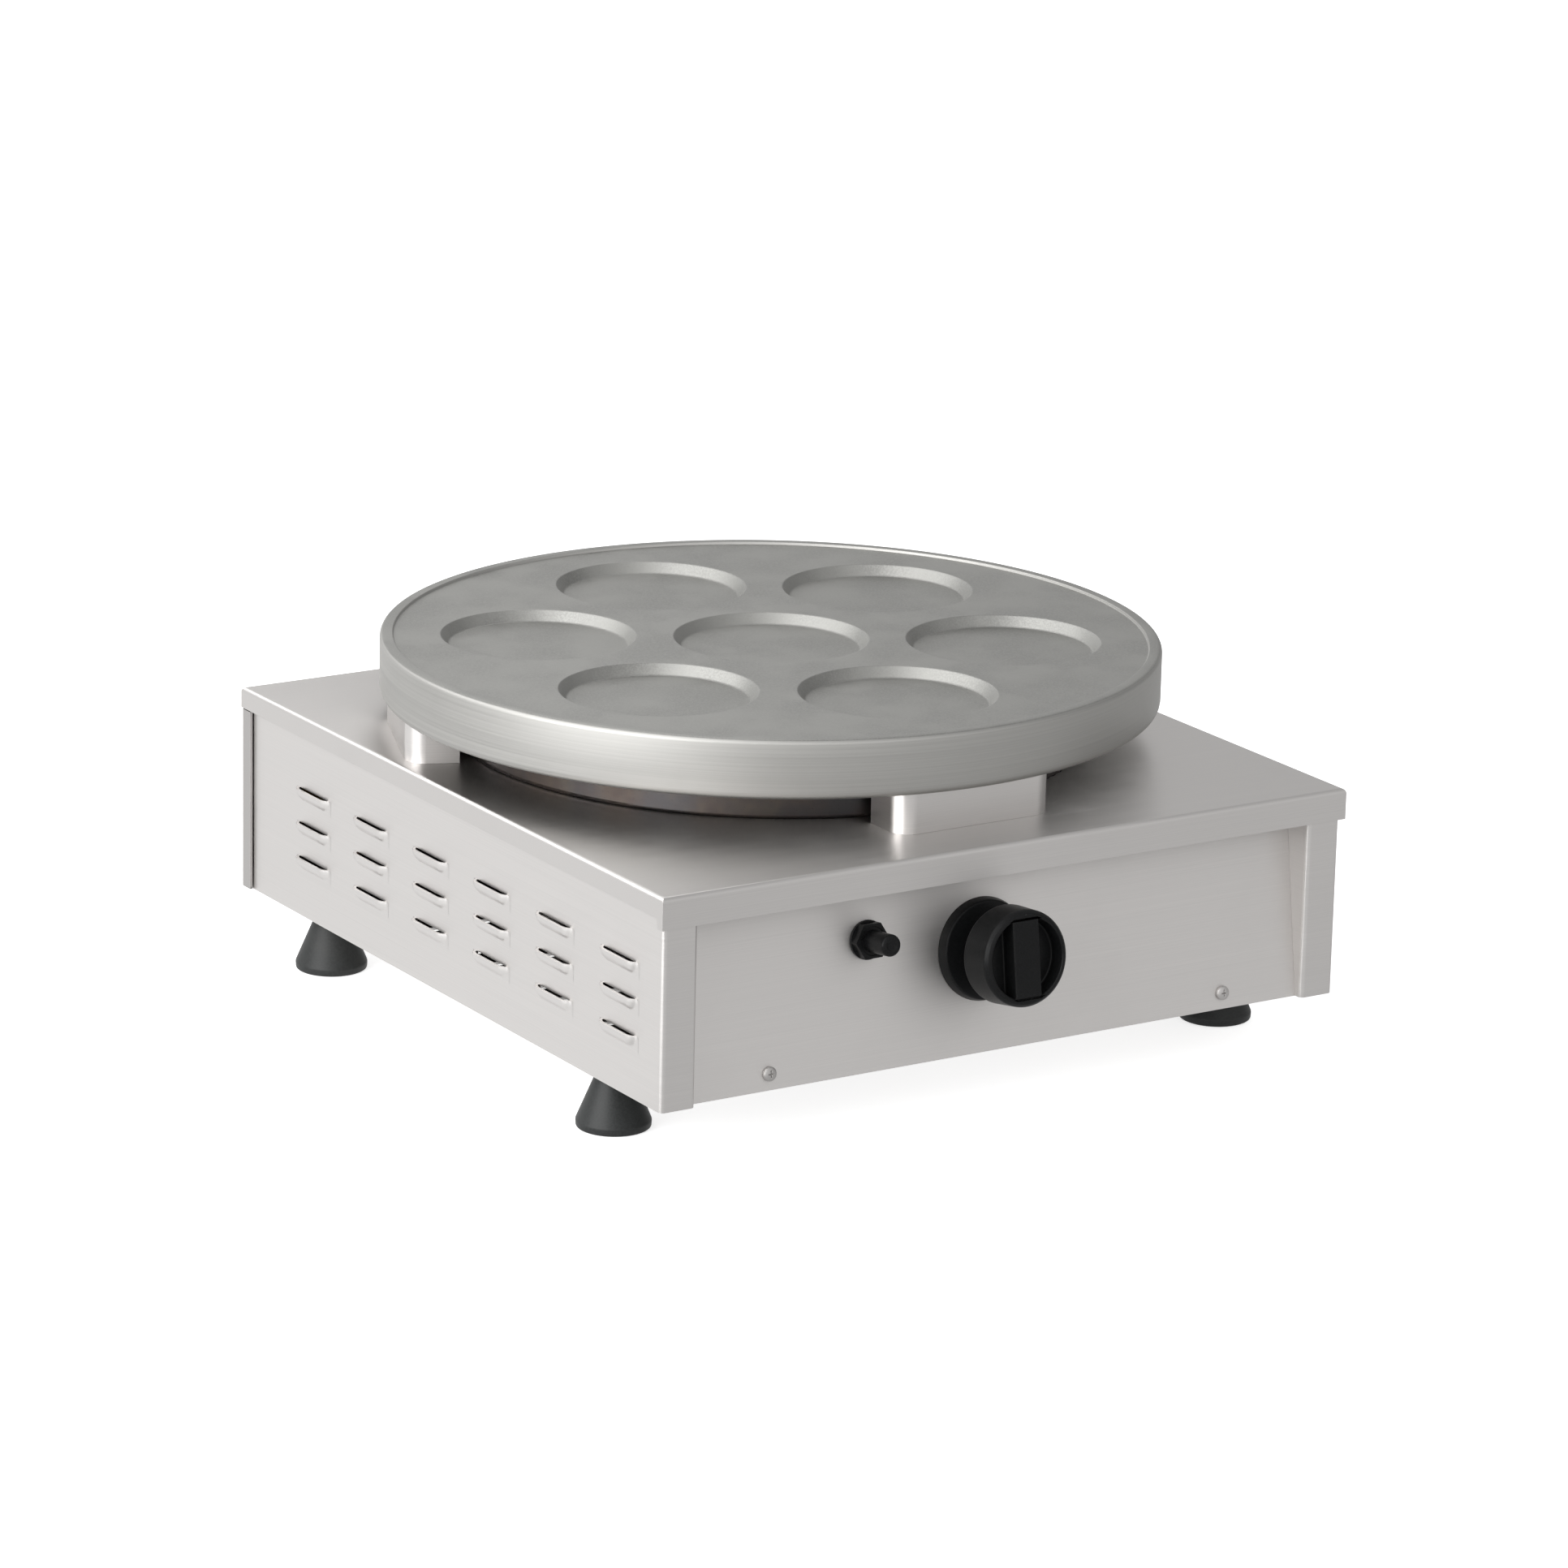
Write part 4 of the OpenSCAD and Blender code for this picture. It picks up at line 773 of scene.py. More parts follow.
@made_once("node_groups")
def rows_of_fittings(name):
    """Sets copies of the given fitting in columns and rows about a centre."""
    graph, given = new_shape_tree(
        name,
        Columns="Int",
        Rows="Int",
        Column_step="Vector",
        Row_step="Vector",
        Centre="Vector",
        Turn="Vector",
        Finish="Material",
    )
    points = graph.shape("Points", Count=graph.scaled(given["Columns"], given["Rows"]))
    index = graph.shape("InputIndex")
    column = graph.math("FLOOR", graph.math("DIVIDE", index, given["Rows"]))
    row = graph.math("MODULO", index, given["Rows"])
    place = given["Centre"]
    for step, number, total in (("Column step", column, "Columns"), ("Row step", row, "Rows")):
        middle = graph.math("DIVIDE", graph.math("SUBTRACT", given[total], 1.0), 2.0)
        steps = graph.math("SUBTRACT", number, middle)
        offset = graph.add("ShaderNodeVectorMath", {0: given[step], "Scale": steps}, operation="SCALE")
        place = graph.vector("ADD", place, offset.outputs[0])
    placed = graph.shape("SetPosition", Geometry=points, Position=place)
    turn = graph.add("FunctionNodeEulerToRotation", {0: given["Turn"]}).outputs[0]
    copies = graph.shape("InstanceOnPoints", Points=placed, Instance=given["Geometry"], Rotation=turn)
    real = graph.shape("RealizeInstances", Geometry=copies)
    painted = graph.shape("SetMaterial", Geometry=real, Material=given["Finish"])
    graph.add("NodeGroupOutput", {"Geometry": painted})
    return graph.tree


@made_once("node_groups")
def pitted_plate(name):
    """Fills the face inside the given rim and sinks one pit in its middle and a ring of pits round it."""
    graph, given = new_shape_tree(
        name,
        Pit="Object",
        Face_radius="Float",
        Face_height="Float",
        Face_segments="Int",
        Pit_radius="Float",
        Pit_segments="Int",
        Pit_circle="Float",
        Pits_around="Int",
        First_angle="Float",
        Face_finish="Material",
        Side_finish="Material",
    )

    # The pits' places: the middle and a ring that is turned to its first angle
    first = graph.add("ShaderNodeCombineXYZ", {"Z": given["First angle"]}).outputs[0]
    corners = graph.shape("MeshCircle", Vertices=given["Pits around"], Radius=given["Pit circle"])
    turned = graph.shape("Transform", Geometry=corners, Rotation=first)
    places = graph.join(graph.shape("Points", Count=1), graph.shape("MeshToPoints", Mesh=turned))

    # The face with a round hole at each place, and a pit under each hole
    mouth = graph.shape("CurvePrimitiveCircle", Resolution=given["Pit segments"], Radius=given["Pit radius"])
    edge = graph.shape("CurvePrimitiveCircle", Resolution=given["Face segments"], Radius=given["Face radius"])
    mouths = graph.shape("InstanceOnPoints", Points=places, Instance=mouth)
    outlines = graph.join(edge, graph.shape("RealizeInstances", Geometry=mouths))
    face = graph.shape("FillCurve", Curve=outlines)
    pit = graph.add("GeometryNodeObjectInfo", {"Object": given["Pit"]}).outputs["Geometry"]
    pits = graph.shape("InstanceOnPoints", Points=places, Instance=pit)
    lift = graph.add("ShaderNodeCombineXYZ", {"Z": given["Face height"]}).outputs[0]
    raised = graph.shape("Transform", Geometry=graph.join(face, pits), Translation=lift)
    real = graph.shape("RealizeInstances", Geometry=raised)
    faced = graph.shape("SetMaterial", Geometry=real, Material=given["Face finish"])

    # The rim, whose upward strips have the face's finish
    sided = graph.shape("SetMaterial", Geometry=given["Geometry"], Material=given["Side finish"])
    upward = graph.math("GREATER_THAN", graph.axes(graph.shape("InputNormal"))["Z"], 0.75)
    lipped = graph.shape("SetMaterial", Geometry=sided, Selection=upward, Material=given["Face finish"])
    sewn = graph.shape("MergeByDistance", Geometry=graph.join(faced, lipped), Distance=SEWN_GAP)
    smooth = graph.shape("SetShadeSmooth", Geometry=sewn, Shade_Smooth=True)
    graph.add("NodeGroupOutput", {"Geometry": smooth})
    return graph.tree


# Pieces


class PANCAKE_OT_case(bpy.types.Operator):
    """Rounds the folded sheets' edges and gives them brushed steel"""

    bl_idname = "pancake.case"
    bl_label = "Case sheets"

    def execute(self, context):
        edge = context.scene.pancake_fittings.sheet_edge
        for node, steel, width in (
            ("top_cover", steel_level(), edge),
            ("front_panel", steel_front(), edge),
            ("back_panel", steel_mill(), 2 * edge),
            ("base_plate", steel_mill(), 2 * edge),
            ("left_side_panel", steel_upright(), edge),
            ("right_side_panel", steel_upright(), edge),
        ):
            dress(node, "stainless_steel", steel, width)
        return {"FINISHED"}


class PANCAKE_OT_louvres(bpy.types.Operator):
    """Lays soft pressed louvres over both sides in columns and rows"""

    bl_idname = "pancake.louvres"
    bl_label = "Louvres"

    def execute(self, context):
        sizes = context.scene.pancake_louvres
        middle_y = (COVER_LOW.y + COVER_HIGH.y) / 2 - sizes.middle_ahead
        left_low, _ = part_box("left_side_panel")
        _, right_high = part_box("right_side_panel")
        middle_z = left_low.z + sizes.low_row + sizes.pitch_up * (sizes.rows - 1) / 2
        for name, side, wall in (
            ("louvres_left", -1, left_low.x + sizes.reach),
            ("louvres_right", 1, right_high.x - sizes.reach),
        ):
            skin = louvre_skin(name, side, sizes)
            run_tree(
                skin,
                rows_of_fittings(),
                Columns=sizes.columns,
                Rows=sizes.rows,
                Column_step=(0, sizes.pitch_along, 0),
                Row_step=(0, 0, sizes.pitch_up),
                Centre=(wall, middle_y, middle_z),
                Turn=(0, 0, 0),
                Finish=steel_upright(),
            )
            finish_piece(skin, "case", "stainless_steel", None)
        return {"FINISHED"}


def louvre_skin(name, side, sizes):
    """One pressed louvre as a skin on its solid: its round back rises out of the sheet in a soft line."""
    along, down = 44, 18
    lift, margin = 0.04 * MM, 1.6 * sizes.blend
    sunk = sizes.radius - sizes.reach
    reach_z = math.sqrt(sizes.radius**2 - sunk**2) + margin
    reach_y = sizes.run / 2 + reach_z
    form = bmesh.new()
    grid = []
    for i in range(along + 1):
        y = reach_y * (2 * i / along - 1)
        past_run = max(0.0, abs(y) - sizes.run / 2)
        column = []
        for j in range(down + 1):
            z = -reach_z * j / down
            square = sizes.radius**2 - past_run**2 - z**2
            hood = math.copysign(math.sqrt(abs(square)), square) - sunk
            mix = max(0.0, min(1.0, 0.5 + 0.5 * hood / sizes.blend))
            height = hood * mix + 0.5 * sizes.blend * mix * (1 - mix)
            column.append(form.verts.new((side * (max(0.0, height) + lift), y, z)))
        grid.append(column)
    for near, far in zip(grid, grid[1:]):
        for j in range(down):
            face = form.faces.new((near[j], far[j], far[j + 1], near[j + 1]))
            face.normal_update()
            if face.normal.x * side < 0:
                face.normal_flip()
    mesh = mesh_from(name, form)
    mesh.shade_smooth()
    return new_object(name, mesh)


class PANCAKE_OT_plate(bpy.types.Operator):
    """Builds the cast cooking plate with its lip, ring and seven pits"""

    bl_idname = "pancake.plate"
    bl_label = "Cooking plate"

    def execute(self, context):
        sizes = context.scene.pancake_plate
        size = PLATE_HIGH - PLATE_LOW
        radius = max(size.x, size.y) / 2
        face = size.z - sizes.lip_height
        lip = radius - sizes.lip_width
        hollow = radius - sizes.ring_width
        strip, lip_lean, lip_round = 1.0 * MM, 0.4 * MM, 0.5 * MM
        hollow_edge, hollow_round = 1.0 * MM, 2.0 * MM
        around, pit_around = 240, 112
        rim = softened(
            (
                (lip - strip, face, 0),
                (lip, face, lip_round),
                (lip + lip_lean, size.z, lip_round),
                (radius, size.z, sizes.top_round),
                (radius, 0, sizes.low_round),
                (hollow, 0, hollow_edge),
                (hollow, sizes.hollow_height, hollow_round),
                (0, sizes.hollow_height, 0),
            )
        )
        plate = object_from("plate", revolved(rim, around), smooth_angle=60.0)
        pit_radius = sizes.pit_width / 2
        floor_radius = pit_radius - sizes.pit_run
        floor_strip = 4 * MM
        pit = softened(
            (
                (pit_radius + strip, 0, 0),
                (pit_radius, 0, sizes.pit_edge),
                (floor_radius, -sizes.pit_depth, sizes.pit_foot),
                (floor_radius - floor_strip, -sizes.pit_depth, 0),
                (0, -sizes.pit_depth, 0),
            )
        )
        sample = object_from("pit_sample", revolved(pit, pit_around), smooth_angle=60.0)
        run_tree(
            plate,
            pitted_plate(),
            Pit=sample,
            Face_radius=lip - strip,
            Face_height=face,
            Face_segments=around,
            Pit_radius=pit_radius + strip,
            Pit_segments=pit_around,
            Pit_circle=sizes.pit_circle,
            Pits_around=6,
            First_angle=math.radians(30),
            Face_finish=plate_face(),
            Side_finish=plate_side(),
        )
        bpy.data.objects.remove(sample)
        form = bmesh.new()
        form.from_mesh(plate.data)
        bmesh.ops.recalc_face_normals(form, faces=form.faces[:])
        form.to_mesh(plate.data)
        form.free()
        plate.data.transform(Matrix.Translation((PLATE_MIDDLE.x, PLATE_MIDDLE.y, PLATE_LOW.z)))
        finish_piece(plate, "case", "cast_iron_plate", None, "cooking_plate")
        return {"FINISHED"}


class PANCAKE_OT_supports(bpy.types.Operator):
    """Rounds the plate's three supports and the flame guard"""

    bl_idname = "pancake.supports"
    bl_label = "Plate supports and flame guard"

    def execute(self, context):
        edge = context.scene.pancake_fittings.sheet_edge
        for node in ("front_plate_support", "left_plate_support", "right_plate_support"):
            dress(node, "stainless_steel", steel_upright(), edge)
        dress("flame_guard", "stainless_steel", steel_burnt(), edge)
        return {"FINISHED"}


class PANCAKE_OT_burner(bpy.types.Operator):
    """Gives the burner, its legs and its probes their finishes"""

    bl_idname = "pancake.burner"
    bl_label = "Burner"

    def execute(self, context):
        edge = context.scene.pancake_fittings.sheet_edge
        for node in ("burner_legs", "probe_holder"):
            dress(node, "stainless_steel", steel_upright(), edge)
        paint_nodes(iron(), "burner_ring", "mixer_tube")
        paint_nodes(ceramic(), "spark_electrode")
        paint_nodes(rubber(), "spark_lead")
        paint_nodes(copper(), "flame_probe")
        return {"FINISHED"}


class PANCAKE_OT_gas_train(bpy.types.Operator):
    """Cuts the inlet's thread and finishes the valve, pipes and injector"""

    bl_idname = "pancake.gas_train"
    bl_label = "Gas train"

    def execute(self, context):
        sizes = context.scene.pancake_fittings
        axis = (INLET_LOW + INLET_HIGH) / 2
        back = COVER_HIGH.y
        thread_start = back + sizes.collar_height
        inner_gap = 1.5 * MM
        out = Matrix.Rotation(-math.pi / 2, 4, "X")
        parts = (
            (threaded_tube(sizes, INLET_HIGH.y - thread_start), thread_start),
            (hex_collar(sizes), back),
            (threaded_tube(sizes, back - INLET_LOW.y - inner_gap), INLET_LOW.y),
        )
        for part, start in parts:
            part.data.transform(Matrix.Translation((axis.x, start, axis.z)) @ out)
        inlet = joined("inlet", [part for part, start in parts])
        finish_piece(inlet, "case", "brass_fitting", brass(), "gas_inlet")
        dress("inlet_lock_nut", "brass_fitting", brass(), sizes.casting_edge)
        paint_nodes(brass(), "injector", "gas_valve", "valve_push_rod")
        paint_nodes(copper(), "feed_pipe", "inlet_pipe")
        paint_nodes(zinc(), "valve_lock_nut", "valve_stem", "safety_magnet")
        return {"FINISHED"}


def threaded_tube(sizes, run):
    """A tube along Z from 0 to run: its outside carries a pipe thread that fades in and ends in a chamfer."""
    around, per_pitch = 72, 10
    chamfer_run, chamfer_slope = 0.8 * MM, 0.8
    fade_run = 1.5 * sizes.thread_pitch
    groove_slope, crest = 1.35, 0.15
    steps = max(4, round(run / sizes.thread_pitch * per_pitch))
    form = bmesh.new()
    loops = []
    for step in range(steps + 1):
        z = run * step / steps
        full = sizes.thread_depth * min(1.0, z / fade_run)
        chamfer = chamfer_slope * max(0.0, z - run + chamfer_run)

        def radius_at(angle):
            wave = 0.5 + 0.5 * math.cos(2 * math.pi * z / sizes.thread_pitch - angle)
            groove = max(0.0, min(1.0, groove_slope * wave - crest))
            return sizes.thread_width / 2 - max(full * groove, chamfer)

        loops.append(ring(form, around, z, radius_at))
    bore = [circle(form, around, z, sizes.inlet_bore / 2) for z in (run, 0.0)]
    walls(form, [*loops, *bore, loops[0]])
    return object_from("thread", form, smooth_angle=50.0)


def hex_collar(sizes):
    """A hexagon with turned corners and the inlet's bore that stands on Z = 0."""
    around = 144
    flats, height = sizes.collar_flats / 2, sizes.collar_height
    half_side = math.pi / 6
    corner, turned = flats / math.cos(half_side), 1.03 * flats
    low_turn, high_turn = 0.35 * height, 0.7 * height
    form = bmesh.new()
    loops = []
    for z, limit in ((0.0, turned), (low_turn, corner), (high_turn, corner), (height, turned)):

        def radius_at(angle):
            from_flat = (angle - half_side) % (2 * half_side) - half_side
            return min(flats / math.cos(from_flat), limit)

        loops.append(ring(form, around, z, radius_at))
    bore = [circle(form, around, z, sizes.inlet_bore / 2) for z in (height, 0.0)]
    walls(form, [*loops, *bore, loops[0]])
    return object_from("hexagon", form, smooth_angle=20.0)


def joined(name, parts):
    """One object from several, with each part's smooth and sharp edges kept."""
    form = bmesh.new()
    for part in parts:
        form.from_mesh(part.data)
        bpy.data.objects.remove(part)
    return new_object(name, mesh_from(name, form))


class PANCAKE_OT_knob(bpy.types.Operator):
    """Builds the knob with its grip bar and white line, and the ring behind it"""

    bl_idname = "pancake.knob"
    bl_label = "Knob"

    def execute(self, context):
        sizes = context.scene.pancake_controls
        place = panel_place("knob_turn")
        place.translation = Vector(joint_named("knob_turn")["pos_m"])
        for form, body, finish, nodes in (
            (knob_form(sizes), "knob", plastic(), ["knob"]),
            (pointer_form(sizes), "knob", marking(), []),
            (bezel_form(sizes), "case", plastic(), ["knob_bezel"]),
        ):
            form.data.transform(place)
            finish_piece(form, body, "black_plastic", finish, *nodes)
        return {"FINISHED"}


def knob_form(sizes):
    """The knob with Z out of the panel: neck, tapered disc and two hollows beside a grip bar."""
    around = 120
    bore, neck, front = sizes.stem_width / 2, sizes.neck_width / 2, sizes.knob_front / 2
    taper = (sizes.knob_width - sizes.knob_front) / 2
    bore_end = sizes.knob_reach - 7 * MM
    front_edge, front_drop = 1.4 * MM, 2.2 * MM
    disc_back, disc_front = sizes.knob_width / 2 - 0.2 * taper, front + 0.35 * taper
    profile = softened(
        (
            (0, bore_end, 0),
            (bore, bore_end, 0),
            (bore, sizes.knob_back, 0.3 * MM),
            (neck, sizes.knob_back, 0.8 * MM),
            (neck, sizes.knob_disc, 1.0 * MM),
            (disc_back, sizes.knob_disc, 1.6 * MM),
            (disc_front, sizes.knob_reach - front_drop, 3.0 * MM),
            (front - front_edge, sizes.knob_reach, 0),
        ),
        steps=6,
    )
    form = revolved(profile, around)
    form.verts.ensure_lookup_table()
    outlines = [form.verts[-around:]]
    for side in (-1, 1):
        outlines.append(knob_hollow(form, side, front - sizes.grip_rim, sizes))
    edges = [form.edges.get(pair) for outline in outlines for pair in pairs(outline)]
    bmesh.ops.triangle_fill(form, edges=edges, use_beauty=True, normal=(0, 0, 1))
    bmesh.ops.recalc_face_normals(form, faces=form.faces[:])
    merge_facets(form, angle=0.2)
    knob = object_from("knob_grip", form, smooth_angle=35.0)
    return round_edges(knob, sizes.knob_round, segments=3, angle=35.0)


def knob_hollow(form, side, radius, sizes):
    """Sinks the hollow on one side of the grip bar and returns its upper outline."""
    steps = 28
    narrowing, draft = 0.965, 0.5 * MM
    span = math.acos(sizes.grip_width / 2 / radius)
    angles = [span * (2 * step / steps - 1) for step in range(steps + 1)]
    arc = [Vector((side * radius * math.cos(angle), radius * math.sin(angle), 0)) for angle in angles]
    top = Vector((0, 0, sizes.knob_reach))
    floor = Vector((side * draft, 0, sizes.knob_reach - sizes.grip_depth))
    upper = [form.verts.new(point + top) for point in arc]
    lower = [form.verts.new(point * narrowing + floor) for point in arc]
    walls(form, (upper, lower))
    form.faces.new(lower)
    return upper


def pointer_form(sizes):
    """The painted line in the groove at the upper end of the grip bar."""
    half = sizes.pointer_width / 2
    sunk, thickness, inset = 0.12 * MM, 0.4 * MM, 1.6 * MM
    steps = 8
    top = sizes.knob_reach - sunk
    outer = sizes.knob_front / 2 - inset
    ends = ((outer - half, 0.0), (outer - sizes.pointer_length + half, math.pi))
    form = bmesh.new()
    outlines = []
    for z in (top - thickness, top):
        outline = []
        for end, start in ends:
            for step in range(steps + 1):
                angle = start + math.pi * step / steps
                outline.append(form.verts.new((half * math.cos(angle), end + half * math.sin(angle), z)))
        outlines.append(outline)
    walls(form, outlines)
    for outline in outlines:
        form.faces.new(outline)
    return object_from("knob_line", form, smooth_angle=40.0)


def bezel_form(sizes):
    """The ring that stands on the panel behind the knob."""
    bore, outside = sizes.bezel_bore / 2, sizes.bezel_width / 2
    foot_width, hollow = 3 * MM, 1.0 * MM
    profile = softened(
        (
            (bore, hollow, 0),
            (bore, sizes.bezel_height, 0.5 * MM),
            (outside - sizes.bezel_height / 4, sizes.bezel_height, 1.2 * MM),
            (outside, 0, 0.3 * MM),
            (outside - foot_width, 0, 0),
            (outside - foot_width, hollow, 0),
            (bore, hollow, 0),
        )
    )
    return object_from("bezel", revolved(profile, around=128), smooth_angle=40.0)


class PANCAKE_OT_igniter(bpy.types.Operator):
    """Builds the igniter's button and rounds its collar"""

    bl_idname = "pancake.igniter"
    bl_label = "Igniter"

    def execute(self, context):
        sizes = context.scene.pancake_controls
        low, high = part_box("igniter_button")
        past_panel = (sizes.button_reach - sizes.button_back) / 2
        place = panel_place("igniter_press")
        place.translation = (low + high) / 2 - place.col[2].to_3d() * past_panel
        half = sizes.button_width / 2
        dish_rim, dish_foot = 0.55 * half, 0.4 * half
        dish_edge, dish_floor = 0.35 * MM, 0.5 * MM
        profile = softened(
            (
                (0, -sizes.button_back, 0),
                (half, -sizes.button_back, 0.5 * MM),
                (half, sizes.button_reach, 1.8 * MM),
                (dish_rim, sizes.button_reach, 0.6 * MM),
                (dish_foot, sizes.button_reach - dish_edge, 0.6 * MM),
                (0, sizes.button_reach - dish_floor, 0),
            ),
            steps=6,
        )
        button = object_from("button", revolved(profile, around=72), smooth_angle=40.0)
        button.data.transform(place)
        finish_piece(button, "button", "black_plastic", plastic(), "igniter_button")
        edge = context.scene.pancake_fittings.casting_edge
        dress("igniter_collar", "black_plastic", plastic(), edge, segments=3)
        paint_nodes(plastic(), "igniter_body")
        return {"FINISHED"}


class PANCAKE_OT_feet(bpy.types.Operator):
    """Turns the four rubber feet"""

    bl_idname = "pancake.feet"
    bl_label = "Feet"

    def execute(self, context):
        sizes = context.scene.pancake_fittings
        wide, top, hollow = sizes.foot_width / 2, sizes.foot_top / 2, sizes.foot_hollow / 2
        bolt_hole, hollow_height = 3.3 * MM, 10 * MM
        toe_in, toe_height, neck_run = 0.2 * MM, 3.6 * MM, 4 * MM
        for node in ("front_left_foot", "front_right_foot", "back_left_foot", "back_right_foot"):
            low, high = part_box(node)
            tall = high.z - low.z
            profile = softened(
                (
                    (bolt_hole, tall, 0),
                    (bolt_hole, hollow_height, 0),
                    (hollow, hollow_height, 0.6 * MM),
                    (hollow, 0, 0.6 * MM),
                    (wide - toe_in, 0, 1.2 * MM),
                    (wide, toe_height, 2.4 * MM),
                    (top, tall - neck_run, 3.0 * MM),
                    (top, tall, 0.4 * MM),
                    (bolt_hole, tall, 0),
                )
            )
            foot = object_from("dressed_" + node, revolved(profile, around=96), smooth_angle=40.0)
            foot.data.transform(Matrix.Translation(((low.x + high.x) / 2, (low.y + high.y) / 2, low.z)))
            finish_piece(foot, "case", "black_rubber", rubber(), node)
        return {"FINISHED"}


class PANCAKE_OT_fasteners(bpy.types.Operator):
    """Sets the cross-head screws of the panels and finishes the other screws, nuts and rivets"""

    bl_idname = "pancake.fasteners"
    bl_label = "Fasteners"

    def execute(self, context):
        sizes = context.scene.pancake_fittings
        lean = panel_place("knob_turn")
        low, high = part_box("panel_screws")
        past_panel = (sizes.head_height - sizes.shank_length) / 2
        centre = (low + high) / 2 - lean.col[2].to_3d() * past_panel
        set_screws("panel_screw_heads", "panel_screws", 1, centre, lean.to_euler(), sizes)
        low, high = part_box("back_screws")
        centre = ((low.x + high.x) / 2, high.y - sizes.head_height, (low.z + high.z) / 2)
        set_screws("back_screw_heads", "back_screws", 2, centre, (-math.pi / 2, 0, 0), sizes)
        paint_nodes(
            zinc(),
            "plate_studs",
            "plate_nuts",
            "support_screws",
            "support_nuts",
            "guard_rivets",
            "leg_screws",
            "foot_screws",
            "foot_nuts",
        )
        return {"FINISHED"}


def set_screws(name, node, rows, centre, turn, sizes):
    """Sets a panel's screws in two columns that span the node's box."""
    low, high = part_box(node)
    screws = screw_form(name, sizes)
    run_tree(
        screws,
        rows_of_fittings(),
        Columns=2,
        Rows=rows,
        Column_step=(high.x - low.x - sizes.head_width, 0, 0),
        Row_step=(0, 0, high.z - low.z - sizes.head_width),
        Centre=tuple(centre),
        Turn=tuple(turn),
        Finish=screw_steel(),
    )
    finish_piece(screws, "case", "zinc_hardware", None, node)


def screw_form(name, sizes):
    """A pan head screw whose head stands on Z = 0, with a cross recess."""
    half, tall, shank = sizes.head_width / 2, sizes.head_height, sizes.shank_width / 2
    steps = 10
    shoulder, crown = 0.45 * tall, 0.55 * tall
    slopes = [math.pi / 2 * step / steps for step in range(steps, 0, -1)]
    dome = [(half * math.sin(slope), shoulder + crown * math.cos(slope)) for slope in slopes]
    stem = [(0.0, -sizes.shank_length), (shank, -sizes.shank_length), (shank, 0.0), (half, 0.0)]
    body = object_from(name, revolved([*stem, *dome, (0.0, tall)], around=48), smooth_angle=40.0)
    arm, width = sizes.cross_width / 2, 0.42 * MM
    above = tall + 1 * MM
    arm_taper, width_taper = 0.55, 0.8
    outline = [(arm, width), (width, width), (width, arm), (-width, arm), (-width, width), (-arm, width)]
    outline += [(-x, -y) for x, y in outline]
    form = bmesh.new()
    upper = [form.verts.new((x, y, above)) for x, y in outline]
    lower = [form.verts.new((x * arm_taper, y * width_taper, tall - sizes.cross_depth)) for x, y in outline]
    walls(form, (lower, upper))
    form.faces.new(upper)
    form.faces.new(lower)
    cross = object_from("cross", form)
    recess = body.modifiers.new("recess", "BOOLEAN")
    recess.object = cross
    recess.operation = "DIFFERENCE"
    recess.solver = "EXACT"
    settle(body)
    bpy.data.objects.remove(cross)
    return body


# Stage


WHITE = (1.0, 1.0, 1.0, 1.0)
FLOOR_TONE = (0.8, 0.8, 0.8, 1.0)
FLOOR_REACH = 30.0
FLOOR_DROP = 0.0002

# Each softbox's place, the point it faces, its width and height, and its brightness
SOFTBOXES = {
    "key": ((-1.4, -0.32, 0.5), (0, 0, 0.14), (1.3, 0.85), 4.0),
    "overhead": ((-1.3, -0.25, 1.8), (0, 0, 0.1), (1.6, 1.6), 1.8),
    "rear": ((0.12, 0.5, 0.86), (0.08, 0, 0.3), (0.36, 0.52), 1.2),
    "left rear": ((-1.0, 0.9, 1.1), (0, 0, 0.18), (1.2, 0.9), 1.7),
}

LENS = 156.41
SENSOR = 36.0
FARTHEST = 200.0
CAMERA_PLACE = (-1.8018, -2.83074, 1.0858)
CAMERA_RIGHT = (0.84685, -0.53137, 0.02210)
CAMERA_UP = (0.12987, 0.24691, 0.96030)
CAMERA_BACK = (-0.51573, -0.81036, 0.27810)


class PANCAKE_OT_stage(bpy.types.Operator):
    """Sets the pale floor, the soft light and the camera"""

    bl_idname = "pancake.stage"
    bl_label = "Floor, light and camera"

    def execute(self, context):
        scene = context.scene
        scene.view_settings.view_transform = "Standard"
        studio_floor()
        studio_world(scene)
        for name, values in SOFTBOXES.items():
            softbox(name, *values)
        studio_camera(scene)
        return {"FINISHED"}


